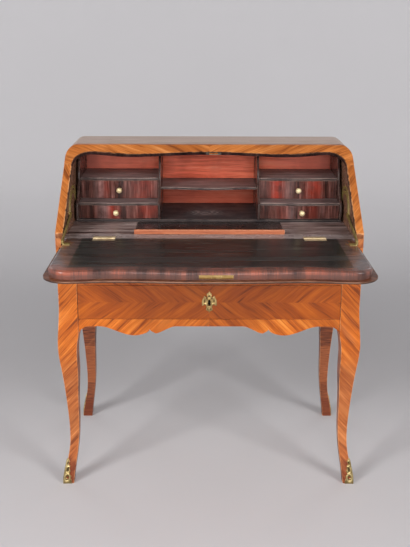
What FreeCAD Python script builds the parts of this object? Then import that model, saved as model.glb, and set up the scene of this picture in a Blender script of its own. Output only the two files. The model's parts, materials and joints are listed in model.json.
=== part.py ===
import FreeCAD
import Part
import math
import os

# Slant-front writing desk on four cabriole legs. X runs to the right, Y to the back, Z up, in millimetres.
# It is drawn with the flap down; Y is counted from the front plane of the case and moved by frame_shift.

doc = FreeCAD.newDocument("SlantFrontDesk")
sheet = doc.addObject("Spreadsheet::Sheet", "Sizes")

SIZES = (
    # the case
    ("case_width", 830),
    ("case_depth", 445),
    ("writing_level", 738),
    ("upper_rise", 215),
    ("slope_angle", 36.5),
    ("side_thickness", 15),
    ("liner_thickness", 7),
    ("top_thickness", 22),
    ("edge_radius", 30),
    ("back_thickness", 12),
    ("front_thickness", 20),
    # corner posts and cabriole legs
    ("post_size", 52),
    ("block_rise", 51),
    ("knee_drop", 37),
    ("ankle_level", 190),
    ("knee_swell", 7),
    ("ankle_hollow", 12),
    ("toe_reach", 9),
    ("knee_width", 53),
    ("ankle_width", 28.5),
    ("toe_width", 29),
    ("sabot_height", 76),
    ("sabot_width", 27),
    ("sabot_metal", 1.8),
    # drawer opening, apron and front rail
    ("apron_level", 489),
    ("apron_height", 21),
    ("drawer_opening", 99),
    ("reveal", 1),
    ("apron_drop", 27),
    ("lobe_inset", 158),
    ("lobe_width", 105),
    ("side_lobe_width", 60),
    ("bracket_drop", 27),
    ("bracket_width", 30),
    # facing round the slope
    ("facing_thickness", 12),
    ("seat_gap", 0.4),
    ("rail_width", 28),
    ("wave_depth", 9),
    ("wave_inset", 148),
    ("opening_radius", 50),
    # flap
    ("flap_thickness", 22),
    ("flap_gap", 1.5),
    ("hinge_gap", 0.5),
    ("clamp_width", 48),
    ("lip_thickness", 5),
    ("lip_side", 13),
    ("lip_front", 16),
    ("lip_clear", 1.5),
    # hinges
    ("hinge_inset", 108),
    ("hinge_length", 60),
    ("leaf_reach", 22),
    ("leaf_thickness", 2),
    ("knuckle_radius", 3),
    ("pin_radius", 1.5),
    ("pin_clear", 0.2),
    # floor, well and its sliding lid
    ("hinge_rail_depth", 44),
    ("floor_thickness", 14),
    ("dust_thickness", 8),
    ("well_half", 208),
    ("well_wall", 12),
    ("well_back_place", 216),
    ("lid_depth", 150),
    ("lid_clear", 0.5),
    ("batten_depth", 8),
    ("batten_height", 13),
    # nest of drawers and pigeonholes
    ("nest_front", 200),
    ("nest_gap", 7),
    ("nest_base", 7),
    ("nest_wall", 6),
    ("bay_half", 142),
    ("lower_height", 41),
    ("shelf_thickness", 7),
    ("upper_height", 55),
    ("upper_setback", 62),
    ("bay_height", 74),
    ("bay_shelf_setback", 71),
    ("serpentine", 7),
    ("nest_back_thickness", 6),
    # small drawers
    ("small_reveal", 0.8),
    ("small_setback", 6),
    ("small_front", 12),
    ("small_wall", 6),
    ("small_bottom", 4),
    ("small_clear_back", 12),
    ("knob_out_lower", 6),
    ("knob_out_upper", 0),
    ("knob_radius", 8.5),
    ("knob_reach", 19),
    # main drawer
    ("box_wall", 12),
    ("box_bottom", 8),
    ("box_clear_back", 26),
    ("box_headroom", 13.2),
    ("run_clear", 0.4),
    ("runner_width", 26),
    ("guide_width", 10),
    ("guide_height", 26),
    # escutcheon and locks
    ("plate_height", 57),
    ("plate_width", 41),
    ("plate_metal", 2.5),
    ("lock_width", 66),
    ("lock_height", 40),
    ("lock_depth", 11),
    ("bolt_width", 24),
    ("bolt_thickness", 5),
    ("bolt_throw", 8),
    ("bolt_clear", 0.8),
    ("selvedge_length", 82),
    ("selvedge_metal", 2),
    ("flap_lock_out", 13),
    ("drawer_lock_height", 60),
    ("strike_length", 44),
    ("strike_metal", 1.5),
    # stays
    ("lug_reach", 64),
    ("lug_rise", 7),
    ("lug_metal", 3),
    ("stay_metal", 2.5),
    ("stay_width", 11),
    ("stay_pin", 2.7),
    ("track_gap", 1.8),
    ("track_level", 34),
    ("track_metal", 2),
    ("track_margin", 8),
    ("slot_clear", 0.5),
)


class Size:
    """A length that knows its value and the sheet formula that gives it."""

    def __init__(self, value, text):
        self.value = value
        self.text = text

    def join(self, other, sign, value):
        return Size(value, "(%s %s %s)" % (self.text, sign, formula(other)))

    def __add__(self, other):
        return self.join(other, "+", self.value + number(other))

    def __sub__(self, other):
        return self.join(other, "-", self.value - number(other))

    def __mul__(self, other):
        return self.join(other, "*", self.value * number(other))

    def __truediv__(self, other):
        return self.join(other, "/", self.value / number(other))

    def __radd__(self, other):
        return fixed(other) + self

    def __rsub__(self, other):
        return fixed(other) - self

    def __rmul__(self, other):
        return fixed(other) * self

    def __neg__(self):
        return fixed(0) - self


class Sheet:
    """Every named size as an attribute."""


def number(size):
    return size.value if isinstance(size, Size) else float(size)


def formula(size):
    return size.text if isinstance(size, Size) else "%.6g" % size


def fixed(value):
    return Size(float(value), "%.6g" % value)


def sine(angle):
    return Size(math.sin(math.radians(angle.value)), "sin(%s)" % angle.text)


def cosine(angle):
    return Size(math.cos(math.radians(angle.value)), "cos(%s)" % angle.text)


def root(size):
    return Size(math.sqrt(size.value), "sqrt(%s)" % size.text)


d = Sheet()
for row, (name, value) in enumerate(SIZES, start=1):
    sheet.set("A%d" % row, name)
    sheet.set("B%d" % row, str(value))
    sheet.setAlias("B%d" % row, name)
    setattr(d, name, Size(float(value), "Sizes.%s" % name))
doc.recompute()

# Derived places
case_height = d.writing_level + d.upper_rise
half = d.case_width / 2
rise = sine(d.slope_angle)
run = cosine(d.slope_angle)
hinge_y = d.flap_thickness * rise
break_z = d.writing_level + d.flap_thickness * run
slope_length = (case_height - break_z) / rise
slope_back = (case_height - break_z) * run / rise
opening_half = half - d.side_thickness - d.liner_thickness
opening_top = slope_length - d.rail_width
post_in = half - d.post_size
under_flap = d.writing_level - d.flap_thickness
post_top = under_flap - d.reveal
side_in = half - d.side_thickness
drawer_floor = d.apron_level + d.apron_height
drawer_ceiling = drawer_floor + d.drawer_opening
bracket_tip = d.apron_level - d.bracket_drop
block_level = d.apron_level + d.block_rise
knee_level = bracket_tip - d.knee_drop
wave_place = opening_half - d.wave_inset
hinge_place = opening_half - d.hinge_inset
lobe_centre = post_in - d.lobe_inset
nest_half = opening_half - d.nest_gap
box_half = post_in - d.guide_width - d.reveal
inner_back = d.case_depth - d.back_thickness
hood_in = case_height - d.top_thickness
hood_foot = case_height - d.edge_radius
core_half = opening_half - d.flap_gap
core_length = opening_top - d.flap_gap
flap_front = hinge_y - core_length
well_floor = drawer_ceiling + d.dust_thickness
floor_under = d.writing_level - d.floor_thickness
rail_front = hinge_y + d.hinge_gap
rail_back = rail_front + d.hinge_rail_depth
back_reach = d.case_depth + d.toe_reach + d.sabot_metal
front_reach = flap_front - d.lip_front
frame_shift = (back_reach + front_reach) / -2

NODES = []


def bind(thing, prop, size):
    """Tie a property to the sheet."""
    if isinstance(size, Size):
        thing.setExpression(prop, size.text)
    else:
        setattr(thing, prop, size)


def node(thing):
    """Keep a piece as a node and move it into the part's frame."""
    bind(thing, "Placement.Base.y", frame_shift)
    NODES.append(thing)
    return thing


def block(name, x, y, z):
    """A plain board between two places on each axis."""
    box = doc.addObject("Part::Box", name)
    box.Label = name
    bind(box, "Length", x[1] - x[0])
    bind(box, "Width", y[1] - y[0])
    bind(box, "Height", z[1] - z[0])
    bind(box, "Placement.Base.x", fixed(0) + x[0])
    bind(box, "Placement.Base.y", fixed(0) + y[0])
    bind(box, "Placement.Base.z", fixed(0) + z[0])
    return box


def board(name, x, y, z):
    """A plain board that is a node."""
    box = block(name, x, (fixed(0) + y[0] + frame_shift, fixed(0) + y[1] + frame_shift), z)
    NODES.append(box)
    return box


def rod(name, radius, start, length, axis="x"):
    """A round bar along one axis."""
    bar = doc.addObject("Part::Cylinder", name)
    bar.Label = name
    bind(bar, "Radius", radius)
    bind(bar, "Height", length)
    turn = {"x": FreeCAD.Rotation(FreeCAD.Vector(0, 1, 0), 90),
            "y": FreeCAD.Rotation(FreeCAD.Vector(1, 0, 0), -90),
            "z": FreeCAD.Rotation()}[axis]
    bar.Placement = FreeCAD.Placement(FreeCAD.Vector(), turn)
    for letter, place in zip("xyz", start):
        bind(bar, "Placement.Base.%s" % letter, fixed(0) + place)
    return bar


def point(plane, a, b):
    a, b = number(a), number(b)
    return {"xz": FreeCAD.Vector(a, 0, b), "yz": FreeCAD.Vector(0, a, b), "xy": FreeCAD.Vector(a, b, 0)}[plane]


class Path:
    """A closed outline of lines, arcs and smooth curves in one plane."""

    def __init__(self, plane, a, b):
        self.plane = plane
        self.first = self.last = point(plane, a, b)
        self.edges = []

    def line(self, a, b):
        end = point(self.plane, a, b)
        self.edges.append(Part.makeLine(self.last, end))
        self.last = end
        return self

    def arc(self, through, end):
        middle, end = point(self.plane, *through), point(self.plane, *end)
        self.edges.append(Part.Arc(self.last, middle, end).toShape())
        self.last = end
        return self

    def curve(self, *places, start=None, finish=None):
        points = [self.last] + [point(self.plane, *p) for p in places]
        spline = Part.BSplineCurve()
        if start is not None and finish is not None:
            tangents = [point(self.plane, *start), point(self.plane, *finish)]
            spline.interpolate(Points=points, InitialTangent=tangents[0], FinalTangent=tangents[1])
        else:
            spline.interpolate(Points=points)
        self.edges.append(spline.toShape())
        self.last = points[-1]
        return self

    def reflect(self):
        """Cross the middle plane and follow the outline so far back again as its mirror image."""
        half_way = list(self.edges)
        across = FreeCAD.Vector(-self.last.x, self.last.y, self.last.z)
        if self.last.distanceToPoint(across) > 1e-6:
            self.edges.append(Part.makeLine(self.last, across))
        self.edges += [edge.mirror(FreeCAD.Vector(), FreeCAD.Vector(1, 0, 0)) for edge in reversed(half_way)]
        self.last = FreeCAD.Vector(-self.first.x, self.first.y, self.first.z)
        return self

    def face(self, name):
        if self.last.distanceToPoint(self.first) > 1e-6:
            self.edges.append(Part.makeLine(self.last, self.first))
        outline = doc.addObject("Part::Feature", name)
        outline.Shape = Part.Face(Part.Wire(self.edges))
        return outline


def extrude(name, path, start, length):
    """A flat outline given its thickness along the axis square to it."""
    outline = path.face(name + "_outline")
    letter, way = {"xz": ("y", FreeCAD.Vector(0, 1, 0)),
                   "yz": ("x", FreeCAD.Vector(1, 0, 0)),
                   "xy": ("z", FreeCAD.Vector(0, 0, 1))}[path.plane]
    bind(outline, "Placement.Base.%s" % letter, fixed(0) + start)
    solid = doc.addObject("Part::Extrusion", name)
    solid.Label = name
    solid.Base = outline
    solid.DirMode = "Custom"
    solid.Dir = way
    solid.Solid = True
    bind(solid, "LengthFwd", length)
    return solid


def cut(name, base, *tools):
    """One piece less others."""
    for place, tool in enumerate(tools):
        last = place == len(tools) - 1
        result = doc.addObject("Part::Cut", name if last else "%s_step%d" % (name, place))
        result.Base = base
        result.Tool = tool
        base = result
    base.Label = name
    return base


def fuse(name, *things):
    result = doc.addObject("Part::MultiFuse", name)
    result.Label = name
    result.Shapes = list(things)
    result.Refine = True
    return result


def common(name, first, second):
    result = doc.addObject("Part::Common", name)
    result.Label = name
    result.Base = first
    result.Tool = second
    return result


def group(name, *things):
    """Separate pieces of one kind kept in one node."""
    result = doc.addObject("Part::Compound", name)
    result.Label = name
    result.Links = list(things)
    return result


def tilt(thing):
    """Lay a piece drawn on the flat into the plane of the slope."""
    thing.Placement = FreeCAD.Placement(FreeCAD.Vector(), FreeCAD.Rotation(FreeCAD.Vector(1, 0, 0), 1))
    bind(thing, "Placement.Rotation.Angle", d.slope_angle)
    bind(thing, "Placement.Base.z", break_z)
    return thing


SIDES = (("left", -1), ("right", 1))
ENDS = (("front", -1), ("rear", 1))


def span(sign, low, high):
    """Two distances from the middle as an ordered pair on one side of it."""
    return (low, high) if sign > 0 else (-high, -low)


def by_lock(reach):
    """Two places as far on either side of the flap's lock, which sits a little to the right."""
    return (d.flap_lock_out - reach, d.flap_lock_out + reach)


# Cabriole legs: each is sawn to the same double curve from the front and from the side
LEG = knee_level - d.ankle_level


def leg_outer(extra=0):
    """Outer edge from the block down to the toe, as level and reach beyond the case."""
    return ((block_level, fixed(0) + extra),
            ((block_level + knee_level) / 2, d.knee_swell * 0.57 + extra),
            (knee_level, d.knee_swell + extra),
            (d.ankle_level + LEG * 0.68, fixed(0) + extra),
            (d.ankle_level + LEG * 0.34, d.ankle_hollow * -0.6 + extra),
            (d.ankle_level, -d.ankle_hollow + extra),
            (d.ankle_level * 0.51, d.ankle_hollow * -0.7 + extra),
            (d.ankle_level * 0.13, d.toe_reach * 0.7 + extra),
            (fixed(0), d.toe_reach + extra))


def leg_inner():
    """Inner edge from the toe up to the bracket under the apron."""
    slim = d.ankle_width
    return ((fixed(0), d.toe_reach - d.toe_width),
            (d.ankle_level * 0.13, d.toe_reach * 0.7 - d.toe_width),
            (d.ankle_level * 0.51, d.ankle_hollow * -0.7 - slim * 0.88),
            (d.ankle_level, -d.ankle_hollow - slim),
            (d.ankle_level + LEG * 0.34, d.ankle_hollow * -0.6 - slim * 0.6 - d.knee_width * 0.33),
            (d.ankle_level + LEG * 0.68, slim * -0.25 - d.knee_width * 0.72),
            (knee_level, d.knee_swell - d.knee_width),
            (bracket_tip, -d.post_size))


def leg_path(plane, edge, sign, extra=0, depth=None):
    """Outline of a leg beside the case edge it stands on; sign says which way is outward."""
    outer = [(edge + reach * sign, level) for level, reach in leg_outer(extra)]
    path = Path(plane, edge + fixed(extra) * sign, post_top)
    path.line(*outer[0])
    path.curve(*outer[1:])
    if depth is not None:
        path.line(edge - depth * sign, 0)
        return path.line(edge - depth * sign, post_top)
    inner = [(edge + reach * sign, level) for level, reach in leg_inner()]
    path.line(*inner[0])
    path.curve(*inner[1:])
    return path.line(edge - d.post_size * sign, post_top)


def case_edge(end):
    return fixed(0) if end < 0 else d.case_depth


def leg(name, side, end, make):
    """Where the front outline and the side outline meet."""
    room = d.post_size * 2
    wide = extrude(name + "_front", make("xz", half * side, side), case_edge(end) - room, room * 2)
    deep = extrude(name + "_side", make("yz", case_edge(end), end), half * side - room, room * 2)
    return common(name, wide, deep)


LEGS = {}
for end_name, end in ENDS:
    for side_name, side in SIDES:
        name = "leg_%s_%s" % (end_name, side_name)
        LEGS[end, side] = leg(name, side, end, leg_path)

# Pierced sabots: a thin shell over the outer corner of each foot, cut to a scalloped leaf
SCALLOPS = ((0.16, 0.93), (0.30, 0.86), (0.24, 0.78), (0.46, 0.70), (0.44, 0.58), (0.62, 0.50),
            (0.54, 0.38), (0.78, 0.30), (0.72, 0.20), (1.0, 0.1), (1.0, -0.05))


def sabot_shell(plane, edge, sign):
    """Outline of the foot one metal thickness outside the leg, ending within the leg's wood."""
    return leg_path(plane, edge, sign, extra=number(d.sabot_metal), depth=(d.toe_width - d.toe_reach) * 0.7)


def sabot_leaf(name, side, end):
    """Scalloped outline, seen along the diagonal of the foot."""
    reach = d.sabot_width / root(fixed(2))
    path = Path("xz", 0, d.sabot_height)
    tips = [(reach * a, d.sabot_height * b) for a, b in SCALLOPS]
    for first, second in zip(tips[0::2], tips[1::2]):
        path.arc(first, second)
    path.line(*tips[-1])
    mirrored = [(-a, b) for a, b in reversed(tips)] + [(0, d.sabot_height)]
    path.line(*mirrored[0]).line(*mirrored[1])
    for first, second in zip(mirrored[2::2], mirrored[3::2]):
        path.arc(first, second)
    room = d.toe_width
    leaf = extrude(name + "_leaf", path, -room, room * 2)
    holes = []
    for place, sign in SIDES:
        hole = doc.addObject("Part::Cylinder", "%s_opening_%s" % (name, place))
        bind(hole, "Radius", d.sabot_width * 0.13)
        bind(hole, "Height", room * 2)
        hole.Placement = FreeCAD.Placement(FreeCAD.Vector(), FreeCAD.Rotation(FreeCAD.Vector(1, 0, 0), -90))
        bind(hole, "Placement.Base.y", -room)
        bind(hole, "Placement.Base.x", d.sabot_width * 0.27 * sign)
        bind(hole, "Placement.Base.z", d.sabot_height * 0.24)
        holes.append(hole)
    leaf = cut(name + "_pierced", leaf, *holes)
    leaf.Placement = FreeCAD.Placement(
        FreeCAD.Vector(), FreeCAD.Rotation(FreeCAD.Vector(0, 0, 1), 45 * side * (-end)))
    bind(leaf, "Placement.Base.x", (half + d.toe_reach * 0.3) * side)
    bind(leaf, "Placement.Base.y", case_edge(end) + d.toe_reach * 0.3 * end + frame_shift)
    return leaf


for end_name, end in ENDS:
    pair = []
    for side_name, side in SIDES:
        node(LEGS[end, side])
        name = "sabot_%s_%s" % (end_name, side_name)
        shell = leg(name + "_shell", side, end, sabot_shell)
        bind(shell, "Placement.Base.y", frame_shift)
        cup = cut(name + "_cup", shell, LEGS[end, side])
        pair.append(common(name, cup, sabot_leaf(name, side, end)))
    NODES.append(group("sabots_%s" % end_name, *pair))

# Side boards: apron curve below, housed between the posts, and slope above
facing_drop = (d.facing_thickness + d.seat_gap) / run
slope_foot = break_z - facing_drop
slope_at_hood = (hood_foot - slope_foot) * run / rise
side_mid = d.case_depth / 2
post_back = d.case_depth - d.post_size


def bracket(edge, sign):
    """Places on the small bracket beside a post, from its tip to the straight edge."""
    return ((edge + d.bracket_width * 0.36 * sign, d.apron_level - d.bracket_drop * 0.26),
            (edge + d.bracket_width * sign, d.apron_level))


for side_name, side in SIDES:
    path = Path("yz", 0, post_top)
    path.line(0, slope_foot).line(slope_at_hood, hood_foot)
    path.line(d.case_depth, hood_foot).line(d.case_depth, post_top)
    path.line(post_back, post_top).line(post_back, bracket_tip)
    path.curve(*bracket(post_back, -1), start=(0, 1), finish=(-1, 0))
    path.line(side_mid + d.side_lobe_width, d.apron_level)
    path.curve((side_mid, d.apron_level - d.apron_drop * 0.8), (side_mid - d.side_lobe_width, d.apron_level),
               start=(-1, 0), finish=(-1, 0))
    near, far = bracket(d.post_size, 1)
    path.line(*far)
    path.curve(near, (d.post_size, bracket_tip), start=(-1, 0), finish=(0, -1))
    path.line(d.post_size, post_top)
    low = side_in if side > 0 else -half
    node(extrude("side_%s" % side_name, path, low, d.side_thickness))
    # dark lining of the upper case
    path = Path("yz", rail_front, post_top)
    path.line(rail_front, slope_foot + rail_front * rise / run)
    path.line((hood_in - slope_foot) * run / rise, hood_in)
    path.line(inner_back, hood_in).line(inner_back, post_top)
    low = opening_half if side > 0 else -side_in
    lining = extrude("lining_%s_blank" % side_name, path, low, d.liner_thickness)
    x = span(side, post_in, half)
    notches = [block("lining_%s_notch_%s" % (side_name, e), x, y, (post_top - 1, post_top)) for e, y in
               (("front", (fixed(0), d.post_size)), ("rear", (d.case_depth - d.post_size, d.case_depth)))]
    node(cut("lining_%s" % side_name, lining, *notches))


def case_outline(inner):
    """Section of the upper case across its width, with rounded shoulders."""
    bend = d.edge_radius * (1 - math.sqrt(0.5))
    foot = post_top if inner is None else hood_foot
    path = Path("xz", -half, foot)
    if inner is None:
        path.line(-half, hood_foot)
    path.arc((-half + bend, case_height - bend), (-half + d.edge_radius, case_height))
    path.line(half - d.edge_radius, case_height)
    path.arc((half - bend, case_height - bend), (half, hood_foot))
    if inner is None:
        return path.line(half, foot)
    path.line(side_in, hood_foot).line(side_in, hood_in)
    return path.line(-side_in, hood_in).line(-side_in, hood_foot)


def lay_on_slope(box, x, along, depth):
    """Tilt a box whose first corner lies a distance along the slope and a depth under it."""
    box.Placement = FreeCAD.Placement(FreeCAD.Vector(), FreeCAD.Rotation(FreeCAD.Vector(1, 0, 0), 1))
    bind(box, "Placement.Rotation.Angle", d.slope_angle)
    bind(box, "Placement.Base.x", x)
    bind(box, "Placement.Base.y", depth * rise + along * run)
    bind(box, "Placement.Base.z", break_z - depth * run + along * rise)
    return box


# Top with rounded shoulders, its front end cut back under the facing
facing_depth = d.facing_thickness + d.seat_gap
hood = extrude("top_blank", case_outline("hollow"), fixed(0), d.case_depth)
above = block("top_slope", (-half * 1.1, half * 1.1), (-half, slope_length * 2), (fixed(0), half))
node(cut("top", hood, lay_on_slope(above, half * -1.1, -half, facing_depth)))


def wave(path, top, sign):
    """Waved edge across the opening at a given distance up the slope."""
    ends = opening_half - d.opening_radius
    low = top - d.wave_depth
    mid = top - d.wave_depth / 2
    near = wave_place * 0.5
    far = (wave_place + ends) / 2
    places = [(-ends, top), (-far, mid), (-wave_place, low), (-near, mid), (fixed(0), top),
              (near, mid), (wave_place, low), (far, mid), (ends, top)]
    if sign < 0:
        places.reverse()
    return path.curve(*places[1:], start=(sign, 0), finish=(sign, 0))


# Facing round the slope: two stiles and a waved top rail with rounded inner corners
corner = d.opening_radius * (1 - math.sqrt(0.5))
rail_foot = opening_top - d.opening_radius
envelope = extrude("facing_envelope", case_outline(None), fixed(0), d.case_depth)
stiles = []
for side_name, side in SIDES:
    stile = block("stile_%s_blank" % side_name, span(side, opening_half, half),
                  (-d.opening_radius, rail_foot), (-facing_depth, -d.seat_gap))
    lay_on_slope(stile, opening_half if side > 0 else -half, -d.opening_radius, facing_depth)
    stiles.append(common("slope_stile_%s" % side_name, stile, envelope))
node(group("slope_stiles", *stiles))

path = Path("xy", -half, rail_foot)
path.line(-opening_half, rail_foot)
path.arc((-opening_half + corner, opening_top - corner), (-opening_half + d.opening_radius, opening_top))
wave(path, opening_top, 1)
path.arc((opening_half - corner, opening_top - corner), (opening_half, rail_foot))
path.line(half, rail_foot).line(half, slope_length * 1.2).line(-half, slope_length * 1.2)
rail = extrude("top_rail_blank", path, -d.seat_gap - d.facing_thickness, d.facing_thickness)
bolt_low = d.lip_thickness
strike_half = d.strike_length / 2
strike_bed = block("strike_bed", by_lock(strike_half), (opening_top - 1, opening_top + d.strike_metal),
                   (-bolt_low - d.bolt_thickness - 2, -bolt_low + 2))
bolt_half = d.bolt_width / 2
bolt_room = block("bolt_room", by_lock(bolt_half + d.bolt_clear),
                  (opening_top - 1, opening_top + d.bolt_throw + d.bolt_clear),
                  (-bolt_low - d.bolt_thickness - d.bolt_clear, -bolt_low + d.bolt_clear))
rail = tilt(cut("top_rail_cut", rail, strike_bed, bolt_room))
node(common("slope_top_rail", rail, envelope))
plate = block("strike_blank", by_lock(strike_half), (opening_top, opening_top + d.strike_metal),
              (-bolt_low - d.bolt_thickness - 2, -bolt_low + 2))
plate = tilt(cut("strike_plate", plate, bolt_room))
node(plate)

# Backs
board("back_lower", (-post_in, post_in), (d.case_depth - d.back_thickness - 2, d.case_depth - 2),
      (d.apron_level, post_top))
board("back_upper", (-side_in, side_in), (inner_back, d.case_depth), (post_top, hood_in))

# Scalloped apron under the drawer
LOBE = ((1, 0), (0.54, 0.45), (0.24, 0.88), (0, 1), (-0.21, 0.83), (-0.38, 0.33), (-0.46, 0.62),
        (-0.54, 0.78), (-0.72, 0.52), (-0.9, 0.18), (-1.08, 0))
# Lower edge of the left half: bracket at the post, then lobe, notch, tip and the start of the flat centre
path = Path("xz", -post_in, drawer_floor).line(-post_in, bracket_tip)
path.curve(*bracket(-post_in, 1), start=(0, 1), finish=(1, 0))
edge = [(-(lobe_centre + d.lobe_width * a), d.apron_level - d.apron_drop * b) for a, b in LOBE]
path.line(*edge[0])
path.curve(*edge[1:6], start=(1, 0), finish=(0.4, 1))
path.curve(*edge[6:8], start=(0.3, -1), finish=(1, -0.3))
path.curve(*edge[8:], start=(1, 0.1), finish=(1, 0))
node(extrude("front_apron", path.reflect(), fixed(0), d.front_thickness))

# Front of the well above the drawer, with the socket of the drawer's bolt
drawer_bolt_y = d.front_thickness - d.lock_depth + 2
bolt_socket = block("drawer_bolt_socket", (-bolt_half - d.bolt_clear, bolt_half + d.bolt_clear),
                    (drawer_bolt_y - d.bolt_clear, drawer_bolt_y + d.bolt_thickness + d.bolt_clear),
                    (drawer_ceiling - 1, drawer_ceiling + d.bolt_throw + d.bolt_clear))
well_front = block("well_front_blank", (-post_in, post_in), (fixed(0), d.front_thickness),
                   (drawer_ceiling, post_top))
node(cut("well_front", well_front, bolt_socket))
board("dust_board", (-post_in, post_in), (d.front_thickness, d.case_depth - d.back_thickness - 2),
      (drawer_ceiling, well_floor))

# Runners and guides of the main drawer
run_level = drawer_floor + d.reveal + d.run_clear
runner_in = post_in - d.runner_width
runners = []
for side_name, side in SIDES:
    bearer = block("runner_%s_bearer" % side_name, span(side, runner_in, post_in),
                   (d.front_thickness, d.case_depth - d.back_thickness - 2), (d.apron_level, run_level))
    guide = block("runner_%s_guide" % side_name, span(side, box_half + d.reveal, post_in),
                  (d.front_thickness, d.case_depth - d.back_thickness - 2),
                  (d.apron_level, run_level + d.guide_height))
    runners.append(fuse("drawer_runner_%s" % side_name, bearer, guide))
node(group("drawer_runners", *runners))

# Hinges: a leaf on the case with two knuckles and the pin, a leaf on the flap with the middle knuckle
third = d.hinge_length / 3
knuckle_room = d.knuckle_radius + 0.6


def hinge_x(side):
    return hinge_place * side - d.hinge_length / 2


def leaf_beds(name, y):
    """Beds for both leaves and the knuckles."""
    beds = []
    for side_name, side in SIDES:
        x = hinge_x(side)
        beds.append(block("%s_bed_%s" % (name, side_name), (x - 0.3, x + d.hinge_length + 0.3), y,
                          (d.writing_level - d.leaf_thickness, d.writing_level + 1)))
        beds.append(rod("%s_round_%s" % (name, side_name), knuckle_room,
                        (x - 0.3, hinge_y, d.writing_level), d.hinge_length + 0.6))
    return beds


case_leaves = []
flap_leaves = []
for side_name, side in SIDES:
    x = hinge_x(side)
    leaf = block("case_leaf_%s" % side_name, (x, x + d.hinge_length), (hinge_y, hinge_y + d.leaf_reach),
                 (d.writing_level - d.leaf_thickness, d.writing_level))
    middle = rod("case_leaf_gap_%s" % side_name, knuckle_room, (x + third - 0.2, hinge_y, d.writing_level),
                 third + 0.4)
    barrel = rod("case_barrel_%s" % side_name, d.knuckle_radius, (x, hinge_y, d.writing_level),
                 d.hinge_length)
    pin = rod("case_pin_%s" % side_name, d.pin_radius, (x, hinge_y, d.writing_level), d.hinge_length)
    barrel = fuse("case_leaf_full_%s" % side_name, leaf, barrel)
    case_leaves.append(fuse("case_hinge_%s" % side_name, cut("case_leaf_open_%s" % side_name, barrel, middle), pin))
    leaf = block("flap_leaf_%s" % side_name, (x, x + d.hinge_length), (hinge_y - d.leaf_reach, hinge_y),
                 (d.writing_level - d.leaf_thickness, d.writing_level))
    ends = [rod("flap_leaf_end%d_%s" % (n, side_name), knuckle_room,
                (x + (third * 2 - 0.2) * n - 0.2, hinge_y, d.writing_level), third + 0.4) for n in (0, 1)]
    barrel = rod("flap_barrel_%s" % side_name, d.knuckle_radius, (x + third, hinge_y, d.writing_level), third)
    bore = rod("flap_bore_%s" % side_name, d.pin_radius + d.pin_clear, (x, hinge_y, d.writing_level),
               d.hinge_length)
    leaf = cut("flap_leaf_open_%s" % side_name, leaf, *ends)
    flap_leaves.append(cut("flap_hinge_%s" % side_name, fuse("flap_leaf_full_%s" % side_name, leaf, barrel), bore))
node(group("hinge_case_leaves", *case_leaves))
node(group("hinge_flap_leaves", *flap_leaves))

# Floor of the writing compartment
rail = block("hinge_rail_blank", (-opening_half, opening_half), (rail_front, rail_back),
             (post_top, d.writing_level))
node(cut("hinge_rail", rail, *leaf_beds("rail", (hinge_y, hinge_y + d.leaf_reach + 0.3))))
floors = []
walls = [block("well_back", (-d.well_half + d.well_wall / 2, d.well_half - d.well_wall / 2),
               (d.well_back_place, d.well_back_place + d.well_wall), (well_floor, floor_under))]
for side_name, side in SIDES:
    floors.append(block("floor_%s" % side_name, span(side, d.well_half, opening_half), (rail_back, inner_back),
                        (floor_under, d.writing_level)))
    # each side of the well is notched under the hinge rail
    path = Path("yz", d.front_thickness, well_floor).line(d.front_thickness, post_top).line(rail_back, post_top)
    path.line(rail_back, floor_under).line(inner_back - 2, floor_under).line(inner_back - 2, well_floor)
    outer = d.well_half + d.well_wall / 2
    low = d.well_half - d.well_wall / 2 if side > 0 else -outer
    walls.append(extrude("well_side_%s" % side_name, path, low, d.well_wall))
node(group("floor_boards", *floors))
node(group("well_walls", *walls))

# Sliding lid of the well, with a raised batten along its front edge
lid_low = floor_under + d.lid_clear
lid_top = d.writing_level - d.lid_clear
lid_front = rail_back + d.lid_clear
lid_half = d.well_half - d.lid_clear
board("well_lid", (-lid_half, lid_half), (lid_front, lid_front + d.lid_depth), (lid_low, lid_top))
board("well_lid_batten", (-lid_half, lid_half), (lid_front, lid_front + d.batten_depth),
      (lid_top, lid_top + d.batten_height))

# Nest of drawers and pigeonholes
nest_top = d.writing_level + d.nest_base
nest_back = inner_back - d.nest_back_thickness
lower_top = nest_top + d.lower_height
upper_low = lower_top + d.shelf_thickness
upper_top = upper_low + d.upper_height
pigeon_low = upper_top + d.shelf_thickness
upper_front = d.nest_front + d.upper_setback
bay_in = d.bay_half + d.nest_wall
nest_in = nest_half - d.nest_wall
board("nest_base", (-nest_half, nest_half), (d.nest_front, inner_back), (d.writing_level, nest_top))
board("nest_back", (-nest_half, nest_half), (nest_back, inner_back), (nest_top, hood_in))


def upright(name, low):
    """Upright with a curved front edge that steps back above the lower drawers."""
    path = Path("yz", nest_back, nest_top)
    path.line(d.nest_front, nest_top).line(d.nest_front, lower_top)
    path.curve((d.nest_front + d.upper_setback * 0.25, upper_low + 8), (upper_front - 12, upper_top - 12),
               (upper_front, pigeon_low + 8), start=(0.2, 1), finish=(0, 1))
    path.curve((upper_front + 14, (pigeon_low + hood_in) / 2), (upper_front + 40, hood_in),
               start=(0, 1), finish=(1, 0.4))
    path.line(nest_back, hood_in)
    return extrude(name, path, low, d.nest_wall)


node(group("nest_dividers", *[upright("divider_%s" % n, d.bay_half if side > 0 else -bay_in) for n, side in SIDES]))
node(group("nest_walls", *[upright("nest_wall_%s" % n, nest_in if side > 0 else -nest_half) for n, side in SIDES]))


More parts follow.
